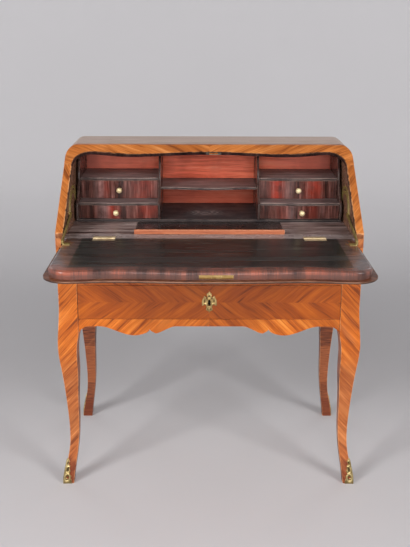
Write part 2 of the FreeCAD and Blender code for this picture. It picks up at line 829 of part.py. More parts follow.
def serpentine(x, front, back, swell):
    """Plan of a board whose front edge swells forward in the middle."""
    low, high = x
    wide = high - low
    path = Path("xy", low, back)
    path.line(low, front)
    path.curve((low + wide * 0.25, front - swell * 0.5), (low + wide * 0.5, front - swell),
               (low + wide * 0.75, front - swell * 0.5), (high, front), start=(1, 0), finish=(1, 0))
    path.line(high, back)
    return path


def shelves(name, front, level):
    """A pair of swelled shelves, one on each side."""
    pair = []
    for side_name, side in SIDES:
        plan = serpentine(span(side, bay_in, nest_in), front + d.serpentine, nest_back, d.serpentine)
        pair.append(extrude("%s_%s" % (name, side_name), plan, level, d.shelf_thickness))
    node(group(name, *pair))


shelves("shelves_lower", d.nest_front + 2, lower_top)
shelves("shelves_upper", upper_front, upper_top)
node(extrude("shelf_middle", serpentine((-d.bay_half, d.bay_half), d.nest_front + d.bay_shelf_setback + d.serpentine,
                                        nest_back, d.serpentine * 2), nest_top + d.bay_height, d.shelf_thickness))


def small_drawer(name, side, front, low, high, knob_out):
    """Small drawer: a swelled front, two sides, a back and a bottom, with a knob set out from its middle."""
    x = span(side, bay_in + d.small_reveal, nest_in - d.small_reveal)
    base, top = low + d.small_reveal, high - d.small_reveal
    rear = nest_back - d.small_clear_back
    face = front + d.serpentine + d.small_front
    inner = (x[0] + d.small_wall, x[1] - d.small_wall)
    floor_top = base + d.small_bottom
    pieces = [
        extrude(name + "_face", serpentine(x, front + d.serpentine, face, d.serpentine), base, top - base),
        block(name + "_wall_a", (x[0], inner[0]), (face, rear), (base, top - 4)),
        block(name + "_wall_b", (inner[1], x[1]), (face, rear), (base, top - 4)),
        block(name + "_rear", inner, (rear - d.small_wall, rear), (floor_top, top - 6)),
        block(name + "_floor", inner, (face, rear), (base, floor_top)),
    ]
    node(group(name, *pieces))
    middle = (x[0] + x[1]) / 2
    knob(name + "_knob", middle + knob_out * side, front, (base + top) / 2)


# Radius and reach of the turned knob, as shares of its full radius and reach
KNOB = ((0.72, 0), (0.72, 0.08), (0.36, 0.16), (0.36, 0.32), (0.76, 0.41), (0.96, 0.54), (1, 0.66),
        (0.95, 0.79), (0.76, 0.91), (0.4, 1))


def knob(name, x, y, z):
    """Turned knob: rosette, neck and ball, revolved on an axis that points forward."""
    path = Path("xz", 0, 0)
    for wide, long in KNOB:
        path.line(d.knob_radius * wide, d.knob_reach * long)
    path.line(0, d.knob_reach)
    turned = doc.addObject("Part::Revolution", name)
    turned.Label = name
    turned.Source = path.face(name + "_outline")
    turned.Axis = FreeCAD.Vector(0, 0, 1)
    turned.Angle = 360
    turned.Solid = True
    turned.Placement = FreeCAD.Placement(FreeCAD.Vector(), FreeCAD.Rotation(FreeCAD.Vector(1, 0, 0), 90))
    bind(turned, "Placement.Base.x", x)
    bind(turned, "Placement.Base.y", y + frame_shift)
    bind(turned, "Placement.Base.z", z)
    NODES.append(turned)


for side_name, side in SIDES:
    small_drawer("drawer_lower_%s" % side_name, side, d.nest_front + d.small_setback, nest_top, lower_top,
                 d.knob_out_lower)
    small_drawer("drawer_upper_%s" % side_name, side, upper_front, upper_low, upper_top, d.knob_out_upper)


# Half outline of the key plate from its upper to its lower tip, as shares of half its width and height:
# each pair is the middle and the end of one leaf's edge
LEAF = ((0.10, 0.94), (0.18, 0.86), (0.26, 0.84), (0.30, 0.73), (0.26, 0.56), (0.37, 0.46), (0.54, 0.53),
        (0.72, 0.46), (0.91, 0.29), (1, 0.03), (0.98, -0.13), (0.86, -0.25), (0.70, -0.17),
        (0.53, -0.21), (0.42, -0.33), (0.36, -0.47), (0.38, -0.63), (0.27, -0.76), (0.08, -0.85), (0, -1))


def keyhole(name, plane, start, length, across, centre):
    """Way of the key: a narrow slot with a round head and a spread foot."""
    wide, tall = d.plate_width / 2, d.plate_height / 2

    def at(a, b):
        return (wide * a, centre + tall * b * across)

    hole = Path(plane, *at(0.14, 0.17)).arc(at(0, 0.27), at(-0.14, 0.17))
    hole.line(*at(-0.16, -0.25)).arc(at(0, -0.35), at(0.16, -0.25))
    return extrude(name + "_hole", hole, start, length)


def escutcheon(name, plane, start, thick, across, centre):
    """Key plate of pointed leaves with a keyhole; across is the direction of its height, centre its place."""
    wide, tall = d.plate_width / 2, d.plate_height / 2

    def at(a, b):
        return (wide * a, centre + tall * b * across)

    path = Path(plane, *at(0, 1))
    for middle, end in zip(LEAF[0::2], LEAF[1::2]):
        path.arc(at(*middle), at(*end))
    plate = extrude(name + "_leaf", path.reflect(), start, thick)
    return cut(name, plate, keyhole(name, plane, start - 1, thick + 2, across, centre))


# Flap: a waved core between two clamped ends, a lipped outer face, lock, hinges and stays
clamp_in = core_half - d.clamp_width
path = Path("xy", -clamp_in, hinge_y).line(-clamp_in, flap_front)
low, mid = flap_front + d.wave_depth, flap_front + d.wave_depth / 2
near, far = wave_place * 0.5, (wave_place + clamp_in) / 2
path.curve((-far, mid), (-wave_place, low), (-near, mid), (0, flap_front), (near, mid), (wave_place, low),
           (far, mid), (clamp_in, flap_front), start=(1, 0), finish=(1, 0))
path.line(clamp_in, hinge_y)
core = extrude("flap_core_blank", path, under_flap, d.flap_thickness)
lock_half = d.lock_width / 2
bolt_z = under_flap + bolt_low - d.seat_gap
lock_low = under_flap + 1
lock_room = block("flap_lock_room", by_lock(lock_half), (flap_front - 5, flap_front + d.lock_height),
                  (lock_low, lock_low + d.lock_depth))
selvedge_half = d.selvedge_length / 2
selvedge_z = (under_flap + 2, d.writing_level - 2)
selvedge_sunk = fixed(1)
selvedge_room = block("flap_selvedge_room", by_lock(selvedge_half),
                      (flap_front - 5, flap_front + selvedge_sunk + d.selvedge_metal), selvedge_z)
beds = leaf_beds("flap", (hinge_y - d.leaf_reach - 0.3, hinge_y))
key_reach = flap_front + d.lock_height * 0.6
key_way = keyhole("flap_core_key", "xy", under_flap - 1, fixed(3), -1, key_reach)
node(cut("flap_core", core, lock_room, selvedge_room, key_way, *beds))
clamp_round = d.clamp_width * (1 - math.sqrt(0.5))
for side_name, side in SIDES:
    path = Path("xy", clamp_in * side, hinge_y).line(clamp_in * side, flap_front)
    path.arc(((core_half - clamp_round) * side, flap_front + clamp_round),
             (core_half * side, flap_front + d.clamp_width))
    path.line(core_half * side, hinge_y)
    node(extrude("flap_clamp_%s" % side_name, path, under_flap, d.flap_thickness))
face_half = core_half + d.lip_side
face_front = flap_front - d.lip_front
face_back = fixed(0) - d.lip_clear
big = d.clamp_width + d.lip_side
big_round = big * (1 - math.sqrt(0.5))
low, mid = face_front + d.wave_depth, face_front + d.wave_depth / 2
path = Path("xy", -face_half, face_back).line(-face_half, face_front + big)
path.arc((-face_half + big_round, face_front + big_round), (-face_half + big, face_front))
path.curve((-far, mid), (-wave_place, low), (-near, mid), (0, face_front), (near, mid), (wave_place, low),
           (far, mid), (face_half - big, face_front), start=(1, 0), finish=(1, 0))
path.arc((face_half - big_round, face_front + big_round), (face_half, face_front + big)).line(face_half, face_back)
face = extrude("flap_face_blank", path, under_flap - d.lip_thickness, d.lip_thickness)
key_way = keyhole("flap_face_key", "xy", under_flap - d.lip_thickness - 1, d.lip_thickness + 2, -1, key_reach)
node(cut("flap_face", face, key_way))
bolt_in = block("flap_bolt_way", by_lock(bolt_half + 0.3), (flap_front - 8, flap_front + 30),
                (bolt_z - 0.3, bolt_z + d.bolt_thickness + 0.3))
case = block("flap_lock_case", by_lock(lock_half),
             (flap_front + selvedge_sunk + d.selvedge_metal, flap_front + d.lock_height),
             (lock_low, lock_low + d.lock_depth))
selvedge = block("flap_selvedge", by_lock(selvedge_half),
                 (flap_front + selvedge_sunk, flap_front + selvedge_sunk + d.selvedge_metal), selvedge_z)
node(cut("flap_lock", fuse("flap_lock_full", case, selvedge), bolt_in))
board("flap_bolt", by_lock(bolt_half), (flap_front + selvedge_sunk, flap_front + 26),
      (bolt_z, bolt_z + d.bolt_thickness))
node(escutcheon("flap_escutcheon", "xy", under_flap - d.lip_thickness - d.plate_metal, d.plate_metal, -1,
                key_reach))

# Main drawer
front_half = post_in - d.reveal
front_low, front_top = drawer_floor + d.reveal, drawer_ceiling - d.reveal
lock_top = front_top - d.selvedge_metal
lock_back = d.front_thickness
board_front = block("drawer_front_blank", (-front_half, front_half), (fixed(0), d.front_thickness),
                    (front_low, front_top))
room = block("drawer_lock_room", (-lock_half, lock_half), (lock_back - d.lock_depth, lock_back + 1),
             (front_top - d.drawer_lock_height, front_top + 1))
key_level = (front_low + front_top) / 2
key_way = keyhole("drawer_front_key", "xz", fixed(-1), d.front_thickness - d.lock_depth + 2, 1, key_level)
node(cut("main_drawer_front", board_front, room, key_way))
box_low = run_level + d.run_clear
box_top = drawer_ceiling - d.box_headroom
box_back = inner_back - 2 - d.box_clear_back
box_in = box_half - d.box_wall
node(group("main_drawer_box",
           block("main_wall_left", (-box_half, -box_in), (d.front_thickness, box_back), (box_low, box_top)),
           block("main_wall_right", (box_in, box_half), (d.front_thickness, box_back), (box_low, box_top)),
           block("main_rear", (-box_in, box_in), (box_back - d.box_wall, box_back),
                 (box_low + d.box_bottom, box_top - 6)),
           block("main_floor", (-box_in, box_in), (d.front_thickness, box_back),
                 (box_low, box_low + d.box_bottom))))
bolt_way = block("drawer_bolt_way", (-bolt_half - 0.3, bolt_half + 0.3),
                 (drawer_bolt_y - 0.3, drawer_bolt_y + d.bolt_thickness + 0.3), (front_top - 30, front_top + 1))
lock_case = block("drawer_lock_case", (-lock_half, lock_half), (lock_back - d.lock_depth, lock_back),
                  (front_top - d.drawer_lock_height, front_top))
node(cut("main_drawer_lock", lock_case, bolt_way))
board("main_drawer_bolt", (-bolt_half, bolt_half), (drawer_bolt_y, drawer_bolt_y + d.bolt_thickness),
      (front_top - 26, front_top))
node(escutcheon("main_drawer_escutcheon", "xz", -d.plate_metal, d.plate_metal, 1, key_level))

# Stays: a bar pivoted on a lug of the flap, whose pin rides in a curved slot of a plate on the case
pivot_y = hinge_y - d.lug_reach
pivot_z = d.writing_level + d.lug_rise
reach = root(d.lug_reach * d.lug_reach + d.lug_rise * d.lug_rise)
slot = d.stay_pin + d.slot_clear
track_y = hinge_y + (reach + slot + d.track_margin + d.track_gap + d.track_level * run) / rise
track_z = d.writing_level + d.track_level
pin_y = track_y - d.lug_reach
pin_z = track_z + d.lug_rise
track_in = opening_half - d.track_metal
stay_out = track_in - 1
stay_in = stay_out - d.stay_metal
lug_out = stay_in - 0.5
lug_in = lug_out - d.lug_metal
open_angle = 180 - math.degrees(math.atan2(number(d.lug_rise), number(d.lug_reach)))
shut_angle = open_angle - (180 - number(d.slope_angle))


def polar(radius, angle):
    """A place on a circle round the middle of the track."""
    radius = number(radius)
    return (number(track_y) + radius * math.cos(math.radians(angle)),
            number(track_z) + radius * math.sin(math.radians(angle)))


def band(margin):
    """Curved band along the pin's way with round ends."""
    mid = (open_angle + shut_angle) / 2
    margin = number(margin)
    turn = math.degrees(margin / number(reach))
    path = Path("yz", *polar(reach - margin, open_angle))
    path.arc(polar(reach - margin, mid), polar(reach - margin, shut_angle))
    a = math.radians(shut_angle)
    y, z = polar(reach, shut_angle)
    path.arc((y + margin * math.sin(a), z - margin * math.cos(a)), polar(reach + margin, shut_angle))
    path.arc(polar(reach + margin, mid), polar(reach + margin, open_angle))
    a = math.radians(open_angle)
    y, z = polar(reach, open_angle)
    path.arc((y - margin * math.sin(a), z + margin * math.cos(a)), polar(reach - margin, open_angle))
    return path


tracks = []
lugs = []
for side_name, side in SIDES:
    def low(a, b):
        return a if side > 0 else -b

    name = "stay_track_%s" % side_name
    plate = extrude(name + "_plate", band(slot + d.track_margin), low(track_in, opening_half), d.track_metal)
    opening = extrude(name + "_slot", band(slot), low(track_in - 1, opening_half + 1), d.track_metal + 2)
    tracks.append(cut(name, plate, opening))
    # bar with round ends, an eye on the lug's pin and its own pin in the slot
    name = "stay_%s" % side_name
    dy, dz = number(pin_y - pivot_y), number(pin_z - pivot_z)
    long = math.hypot(dy, dz)
    wide = number(d.stay_width) / 2
    uy, uz = dy / long, dz / long
    py, pz, qy, qz = number(pivot_y), number(pivot_z), number(pin_y), number(pin_z)
    path = Path("yz", py - uz * wide, pz + uy * wide)
    path.arc((py - uy * wide, pz - uz * wide), (py + uz * wide, pz - uy * wide))
    path.line(qy + uz * wide, qz - uy * wide)
    path.arc((qy + uy * wide, qz + uz * wide), (qy - uz * wide, qz + uy * wide))
    bar = extrude(name + "_bar", path, low(stay_in, stay_out), d.stay_metal)
    eye = rod(name + "_eye", d.stay_pin + 0.3, (low(stay_in - 1, stay_out + 1), pivot_y, pivot_z),
              d.stay_metal + 2)
    pin_long = d.track_metal + 1 - 0.4
    pin = rod(name + "_pin", d.stay_pin, (low(stay_out, stay_out + pin_long), pin_y, pin_z), pin_long)
    node(fuse(name, cut(name + "_open", bar, eye), pin))
    # lug on the flap: a foot let flat on the clamp, an upright and the pivot
    name = "stay_lug_%s" % side_name
    foot = block(name + "_foot", span(side, lug_in - 16, lug_out), (pivot_y - 10, pivot_y + 10),
                 (d.writing_level, d.writing_level + d.leaf_thickness))
    cheek = block(name + "_cheek", span(side, lug_in, lug_out), (pivot_y - 8, pivot_y + 8),
                  (d.writing_level, pivot_z + 6))
    pin_long = d.stay_metal + 1
    pin = rod(name + "_pin", d.stay_pin, (low(lug_out, lug_out + pin_long), pivot_y, pivot_z), pin_long)
    lugs.append(fuse(name, foot, cheek, pin))
node(group("stay_tracks", *tracks))
node(group("stay_lugs", *lugs))

doc.recompute()

faults = [thing.Name for thing in doc.Objects if "Invalid" in thing.State or "Error" in thing.State]
if faults:
    raise RuntimeError("not computed: " + ", ".join(faults))
for piece in NODES:
    shape = piece.Shape
    if shape.isNull() or not shape.isValid() or not shape.Solids:
        raise RuntimeError("no valid solid: " + piece.Label)

os.makedirs("parts", exist_ok=True)
for piece in NODES:
    piece.Shape.exportStep("parts/%s.step" % piece.Label)
print("%d pieces" % len(NODES))
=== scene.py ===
import json
import math
from functools import partial, reduce

import bmesh
import bpy
from mathutils import Matrix, Vector


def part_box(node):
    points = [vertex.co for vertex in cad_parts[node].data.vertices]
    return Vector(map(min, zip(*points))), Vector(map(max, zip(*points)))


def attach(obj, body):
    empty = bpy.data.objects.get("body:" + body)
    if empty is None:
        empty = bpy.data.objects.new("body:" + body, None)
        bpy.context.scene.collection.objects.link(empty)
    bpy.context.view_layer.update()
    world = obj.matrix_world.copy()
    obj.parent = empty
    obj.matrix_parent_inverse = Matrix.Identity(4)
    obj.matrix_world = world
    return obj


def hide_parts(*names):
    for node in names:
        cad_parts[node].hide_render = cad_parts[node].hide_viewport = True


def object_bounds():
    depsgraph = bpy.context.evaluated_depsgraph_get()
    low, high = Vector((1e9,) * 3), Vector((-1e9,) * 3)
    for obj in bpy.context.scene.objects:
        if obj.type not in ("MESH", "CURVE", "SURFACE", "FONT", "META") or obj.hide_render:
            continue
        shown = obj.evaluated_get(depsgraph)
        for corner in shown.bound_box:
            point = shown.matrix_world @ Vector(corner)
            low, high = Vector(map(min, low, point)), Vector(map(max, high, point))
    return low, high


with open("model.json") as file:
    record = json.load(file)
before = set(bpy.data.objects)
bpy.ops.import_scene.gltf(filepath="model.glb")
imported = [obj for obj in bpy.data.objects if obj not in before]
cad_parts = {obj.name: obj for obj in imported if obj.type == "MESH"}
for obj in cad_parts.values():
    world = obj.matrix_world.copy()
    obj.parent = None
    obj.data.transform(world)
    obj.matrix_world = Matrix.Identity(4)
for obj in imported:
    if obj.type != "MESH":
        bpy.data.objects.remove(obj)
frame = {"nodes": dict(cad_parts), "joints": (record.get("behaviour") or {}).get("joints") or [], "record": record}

cad_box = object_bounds()
NODES = frame["nodes"]
BODY_OF = {node: body for body, nodes in frame["record"]["behaviour"]["bodies"].items() for node in nodes}
HINGE = next(joint for joint in frame["joints"] if joint["name"] == "flap_hinge")
SLOPE = math.radians(180 - HINGE["range_deg"][1])

# Camera, from the photograph's vanishing points
LENS_MM = 55.32
EYE = (-0.0242, -2.2617, 1.3204)
TILT = math.radians(17.217)
PAN = 0.0055
ROLL = 0.0035

# Range that most of a noise lies in
NOISE_RANGE = (0.3, 0.7)


def srgb(red, green, blue):
    """A colour in screen values from 0 to 255, as the linear colour that a shader takes."""
    shares = [value / 255 for value in (red, green, blue)]
    return tuple(((s + 0.055) / 1.055) ** 2.4 if s > 0.04 else s / 12.92 for s in shares) + (1.0,)


def shades(*colours):
    """Four tones of a wood, from the darkest streak to the lightest."""
    return tuple(srgb(*colour) for colour in colours)


class Paint:
    """A node material under construction. Most methods add nodes and return an output socket; stain and wear
    change the colour that a material has set, and finish closes it."""

    def __init__(self, name):
        self.material = bpy.data.materials.new(name)
        self.material.use_nodes = True
        self.tree = self.material.node_tree
        self.tree.nodes.clear()
        self.colour = None
        where = self.node("TexCoord")
        self.place = where["Object"]
        self.x, self.y, self.z = self.parts(self.place)
        self.nx, self.ny, self.nz = self.parts(where["Normal"])

    def node(self, kind, values=(), **settings):
        """The outputs of a new node. Values are pairs of an input and a socket to link or a plain value."""
        made = self.tree.nodes.new("ShaderNode" + kind)
        for name, setting in settings.items():
            setattr(made, name, setting)
        for name, value in values:
            if isinstance(value, bpy.types.NodeSocket):
                self.tree.links.new(value, made.inputs[name])
            else:
                made.inputs[name].default_value = value
        return made.outputs

    def parts(self, vector):
        """The three components of a vector."""
        return tuple(self.node("SeparateXYZ", [(0, vector)]))

    def vector(self, x, y, z):
        """A vector of three components."""
        return self.node("CombineXYZ", enumerate((x, y, z)))[0]

    def math(self, operation, *values):
        """One step of arithmetic."""
        return self.node("Math", enumerate(values), operation=operation)[0]

    def add(self, *values):
        """The sum of the values."""
        return reduce(partial(self.math, "ADD"), values)

    def times(self, *values):
        """The product of the values."""
        return reduce(partial(self.math, "MULTIPLY"), values)

    def fold(self, value):
        """A value's distance from zero."""
        return self.math("ABSOLUTE", value)

    def far(self, a, b):
        """Distance of a point in a plane from zero."""
        return self.math("SQRT", self.add(self.times(a, a), self.times(b, b)))

    def along(self, direction, centre=(0, 0, 0)):
        """Distance from a centre, measured along a direction."""
        shift = -Vector(direction).dot(Vector(centre))
        pairs = zip((self.x, self.y, self.z), direction)
        return self.add(*[self.times(place, share) for place, share in pairs if share], shift)

    def noise(self, vector, scale, detail=2.0, roughness=0.5, twist=0.0):
        """Smooth noise, from about 0.25 to 0.75."""
        values = {"Vector": vector, "Scale": scale, "Detail": detail, "Roughness": roughness,
                  "Distortion": twist}
        return self.node("TexNoise", values.items())["Fac"]

    def spread(self, value, low, high, start=0.0, end=1.0):
        """A value moved smoothly from the range low to high onto start to end."""
        values = {"Value": value, "From Min": low, "From Max": high, "To Min": start, "To Max": end}
        return self.node("MapRange", values.items(), interpolation_type="SMOOTHSTEP")["Result"]

    def uneven(self, noise, low, high):
        """A noise that is spread from low to high."""
        return self.spread(noise, *NOISE_RANGE, low, high)

    def fibres(self, line, broad, fine, shares=(0.6, 0.38), detail=3, roughness=0.6, twist=0.0):
        """Tone of a wood's broad and fine fibres, as scales of noise, each with its share."""
        streaks = self.times(self.noise(line, broad, detail, roughness, twist), shares[0])
        return self.add(streaks, self.times(self.noise(line, fine), shares[1]))

    def spot(self, u, v, middle, reach, ragged):
        """A soft-edged patch, 1 in its middle, with an uneven outline."""
        a = self.math("DIVIDE", self.add(u, -middle[0]), reach[0])
        b = self.math("DIVIDE", self.add(v, -middle[1]), reach[1])
        rough = self.noise(self.place, 2.2 / min(reach), 3)
        return self.spread(self.add(self.far(a, b), self.times(rough, ragged * 2), -ragged), 1.0, 0.55)

    def ramp(self, value, *stops):
        """A colour read from a row of (place, colour) stops."""
        made = self.tree.nodes.new("ShaderNodeValToRGB")
        elements = made.color_ramp.elements
        for element, (place, colour) in zip((elements[0], elements[1]), (stops[0], stops[-1])):
            element.position = place
            element.color = colour
        for place, colour in stops[1:-1]:
            elements.new(place).color = colour
        self.tree.links.new(value, made.inputs[0])
        return made.outputs[0]

    def mix(self, share, a, b):
        """A blend of two colours."""
        return self.node("Mix", ((0, share), (6, a), (7, b)), data_type="RGBA")[2]

    def attribute(self, name):
        """A number that the mesh carries: edge is 1 on a rounded arris, hollow is 1 deep in a casting."""
        return self.node("Attribute", attribute_name=name)["Fac"]

    def stain(self, tint, *shares):
        """Blends a tint over the colour, by the product of the shares."""
        self.colour = self.mix(self.times(*shares), self.colour, tint)

    def wear(self, tint, share, scale=60):
        """Stains the rounded arrises in patches."""
        patchy = self.spread(self.noise(self.place, scale, 4, 0.6), 0.36, 0.58)
        self.stain(tint, self.attribute("edge"), patchy, share)

    def finish(self, roughness, height, bump=0.15, depth=0.0005, coat=0.0, coat_roughness=0.1,
               metal=0.0, specular=0.5, glow=None):
        """Closes the material with a glossy surface and a bump. Glow is light of its own."""
        raised = self.node("Bump", (("Strength", bump), ("Distance", depth), ("Height", height)))[0]
        values = {"Base Color": self.colour, "Roughness": roughness, "Normal": raised, "Metallic": metal,
                  "Specular IOR Level": specular, "Coat Weight": coat, "Coat Roughness": coat_roughness}
        if glow:
            values.update({"Emission Color": self.colour, "Emission Strength": glow})
        shader = self.node("BsdfPrincipled", values.items())[0]
        self.node("OutputMaterial", [("Surface", shader)])
        return self.material


# Tones of the woods, and the values of a grain that the four tones stand at
STILE_TONES = shades((124, 54, 8), (186, 92, 18), (212, 114, 30), (242, 156, 68))
LEG_TONES = shades((116, 56, 26), (164, 88, 44), (188, 110, 58), (220, 144, 88))
DRAWER_TONES = shades((108, 46, 6), (156, 72, 10), (178, 88, 14), (206, 112, 30))
SLOPE_TONES = shades((126, 64, 28), (180, 102, 46), (206, 124, 60), (234, 160, 96))
BAND_TONES = shades((96, 52, 38), (140, 78, 50), (162, 92, 56), (184, 110, 68))
RIM_TONES = shades((30, 18, 17), (48, 30, 28), (62, 40, 37), (88, 62, 56))
# The top's pale grey tones are a painted reflection of the backdrop on its polish
TOP_TONES = shades((176, 147, 130), (204, 178, 164), (216, 193, 181), (229, 209, 200))
LID_TONES = shades((28, 21, 21), (48, 38, 37), (64, 52, 50), (96, 82, 78))
SHELF_TONES = shades((66, 52, 51), (112, 93, 91), (143, 123, 120), (178, 158, 153))
LINING_TONES = shades((76, 50, 38), (126, 88, 68), (152, 110, 88), (190, 148, 124))
BOARD_TONES = shades((50, 35, 32), (112, 88, 83), (170, 146, 140), (228, 214, 208))
BAY_TONES = shades((40, 36, 37), (58, 53, 54), (72, 66, 66), (96, 88, 87))
WALL_TONES = shades((40, 24, 22), (64, 42, 38), (84, 56, 50), (108, 78, 70))
RAIL_TONES = shades((108, 92, 90), (146, 130, 127), (170, 154, 151), (198, 182, 178))
CORE_TONES = shades((18, 19, 18), (34, 36, 34), (47, 49, 46), (78, 80, 75))
CLAMP_TONES = shades((54, 43, 41), (81, 64, 61), (99, 80, 76), (126, 105, 99))
SMALL_TONES = shades((32, 16, 14), (69, 37, 31), (97, 58, 51), (143, 98, 90))
SMALL_INSIDE = shades((70, 46, 30), (112, 78, 50), (134, 96, 62), (160, 120, 82))
TONE_PLACES = (0.39, 0.47, 0.54, 0.64)
PALE_ARRIS = srgb(236, 168, 112)
# Pale rims of painted highlight, in a darker and a lighter tint
HIGHLIGHT_RIM = (srgb(98, 66, 50), srgb(140, 102, 82))
RED_FOOT = srgb(96, 34, 22)
# Painted shadow under the flap's lip, which also darkens its ends
DARK_TINT = srgb(38, 25, 22)
# Grey of worn arrises, which on the shelves and the bay's floor is also painted highlight
WORN_GLINT_GREY = srgb(158, 136, 126)
KNOT_GREY = srgb(160, 148, 144)
FLAME = srgb(168, 52, 32)
# Paler tint of painted highlight on the small drawers' fronts
PAINTED_SHEEN = srgb(178, 142, 138)

# Heights between which a leg's veneer turns into a post's, and how many cross bands there are to the metre
POST_START = (0.3, 0.47)
BANDS_PER_METRE = 15

# Waved front edge of the flap, which the opening repeats
core_low, core_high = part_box("flap_core")
clamp_low, clamp_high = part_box("flap_clamp_right")
FLAP_GAP = 0.0015
FRONT_BAND = 0.03
flap_ends = core_high.x
flap_corner = clamp_high.x - clamp_low.x
front_edge = [(abs(v.co.x), v.co.y) for v in NODES["flap_core"].data.vertices
              if v.co.z > core_high.z - FLAP_GAP and v.co.y < core_low.y + FRONT_BAND]
wave_place, wave_trough = max(front_edge, key=lambda place: place[1])
wave_depth = wave_trough - core_low.y
hinge_y, hinge_z = HINGE["pos_m"][1:]
up_slope = (0, math.cos(SLOPE), math.sin(SLOPE))
opening_top = hinge_y * up_slope[1] + hinge_z * up_slope[2] + hinge_y - core_low.y + FLAP_GAP
opening_radius = flap_corner + FLAP_GAP

# Places that finishes and shoes are measured from
case_low, case_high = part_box("side_left")
case_mid = ((case_low + case_high) / 2).y
drawer_low, drawer_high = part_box("main_drawer_front")
drawer_mid = (drawer_low.z + drawer_high.z) / 2
face_low, face_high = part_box("flap_face")
face_mid = (face_low.y + face_high.y) / 2
slope_normal = Vector((0, -up_slope[2], up_slope[1]))
frame_back = min(slope_normal.dot(v.co) for v in NODES["slope_stiles"].data.vertices)


def wave_drop(x):
    """How far the waved edge lies behind its crests at a distance from the middle."""
    x = abs(x)
    if x < wave_place:
        return wave_depth / 2 * (1 - math.cos(math.pi * x / wave_place))
    return wave_depth / 2 * (1 + math.cos(math.pi * min((x - wave_place) / (flap_ends - wave_place), 1)))


def past_edge(p, v, top, radius):
    """Distance beyond the waved edge and its round corners in a plane; below zero is inside."""
    u = p.fold(p.x)
    inner = p.math("SUBTRACT", 1, p.math("COSINE", p.times(u, math.pi / wave_place)))
    outer = p.add(1, p.math("COSINE", p.times(p.add(u, -wave_place), math.pi / (flap_ends - wave_place))))
    far = p.math("GREATER_THAN", u, wave_place)
    within = p.math("LESS_THAN", u, flap_ends)
    drop = p.add(p.times(inner, p.math("SUBTRACT", 1, far)), p.times(outer, far, within))
    side = p.math("MAXIMUM", p.add(u, -flap_ends), 0)
    rise = p.math("MAXIMUM", p.add(v, p.times(drop, wave_depth / 2), radius - top), 0)
    return p.add(p.far(side, rise), -radius)


def grain(p, across, along, leaf, flow):
    """Tone of straight-grained veneer from 0 to 1: broad bands, streaks, fine lines and thin dark veins."""
    sway = p.noise(p.vector(p.times(across, 0.5), p.times(along, 0.5), leaf), 14)
    across = p.add(across, p.times(sway, flow))

    def lines(stretch, scale, detail, roughness=0.5, sheet=leaf):
        return p.noise(p.vector(across, p.times(along, stretch), sheet), scale, detail, roughness)

    vein = p.spread(lines(0.06, 95, 1, sheet=p.add(leaf, 9)), 0.6, 0.68)
    hair = p.spread(lines(0.04, 330, 1, sheet=p.add(leaf, 4)), 0.6, 0.7)
    return p.add(p.times(lines(0.12, 38, 2), 0.26), p.times(lines(0.05, 115, 2, 0.55), 0.4),
                 p.times(lines(0.02, 520, 3, 0.65), 0.36), p.times(vein, -0.1), p.times(hair, -0.07))


def four_tones(p, tone, tones, calm=1.0):
    """Colour of a grain tone; a calmer wood spreads its tones wider."""
    places = [0.5 + calm * (place - 0.5) for place in TONE_PLACES]
    return p.ramp(tone, *zip(places, tones))


def cross_bands(p, level):
    """Short blocks of veneer with their grain across, one above the other, in changing browns."""
    block = p.math("FLOOR", p.times(level, BANDS_PER_METRE))
    shade = p.node("TexWhiteNoise", [("W", block)], noise_dimensions="1D")["Value"]
    line = p.noise(p.vector(p.times(p.x, 0.06), p.times(p.y, 0.06), level), 300, 3, 0.7)
    return four_tones(p, p.add(p.times(shade, 0.16), p.times(line, 0.95), -0.06), BAND_TONES, 1.4)


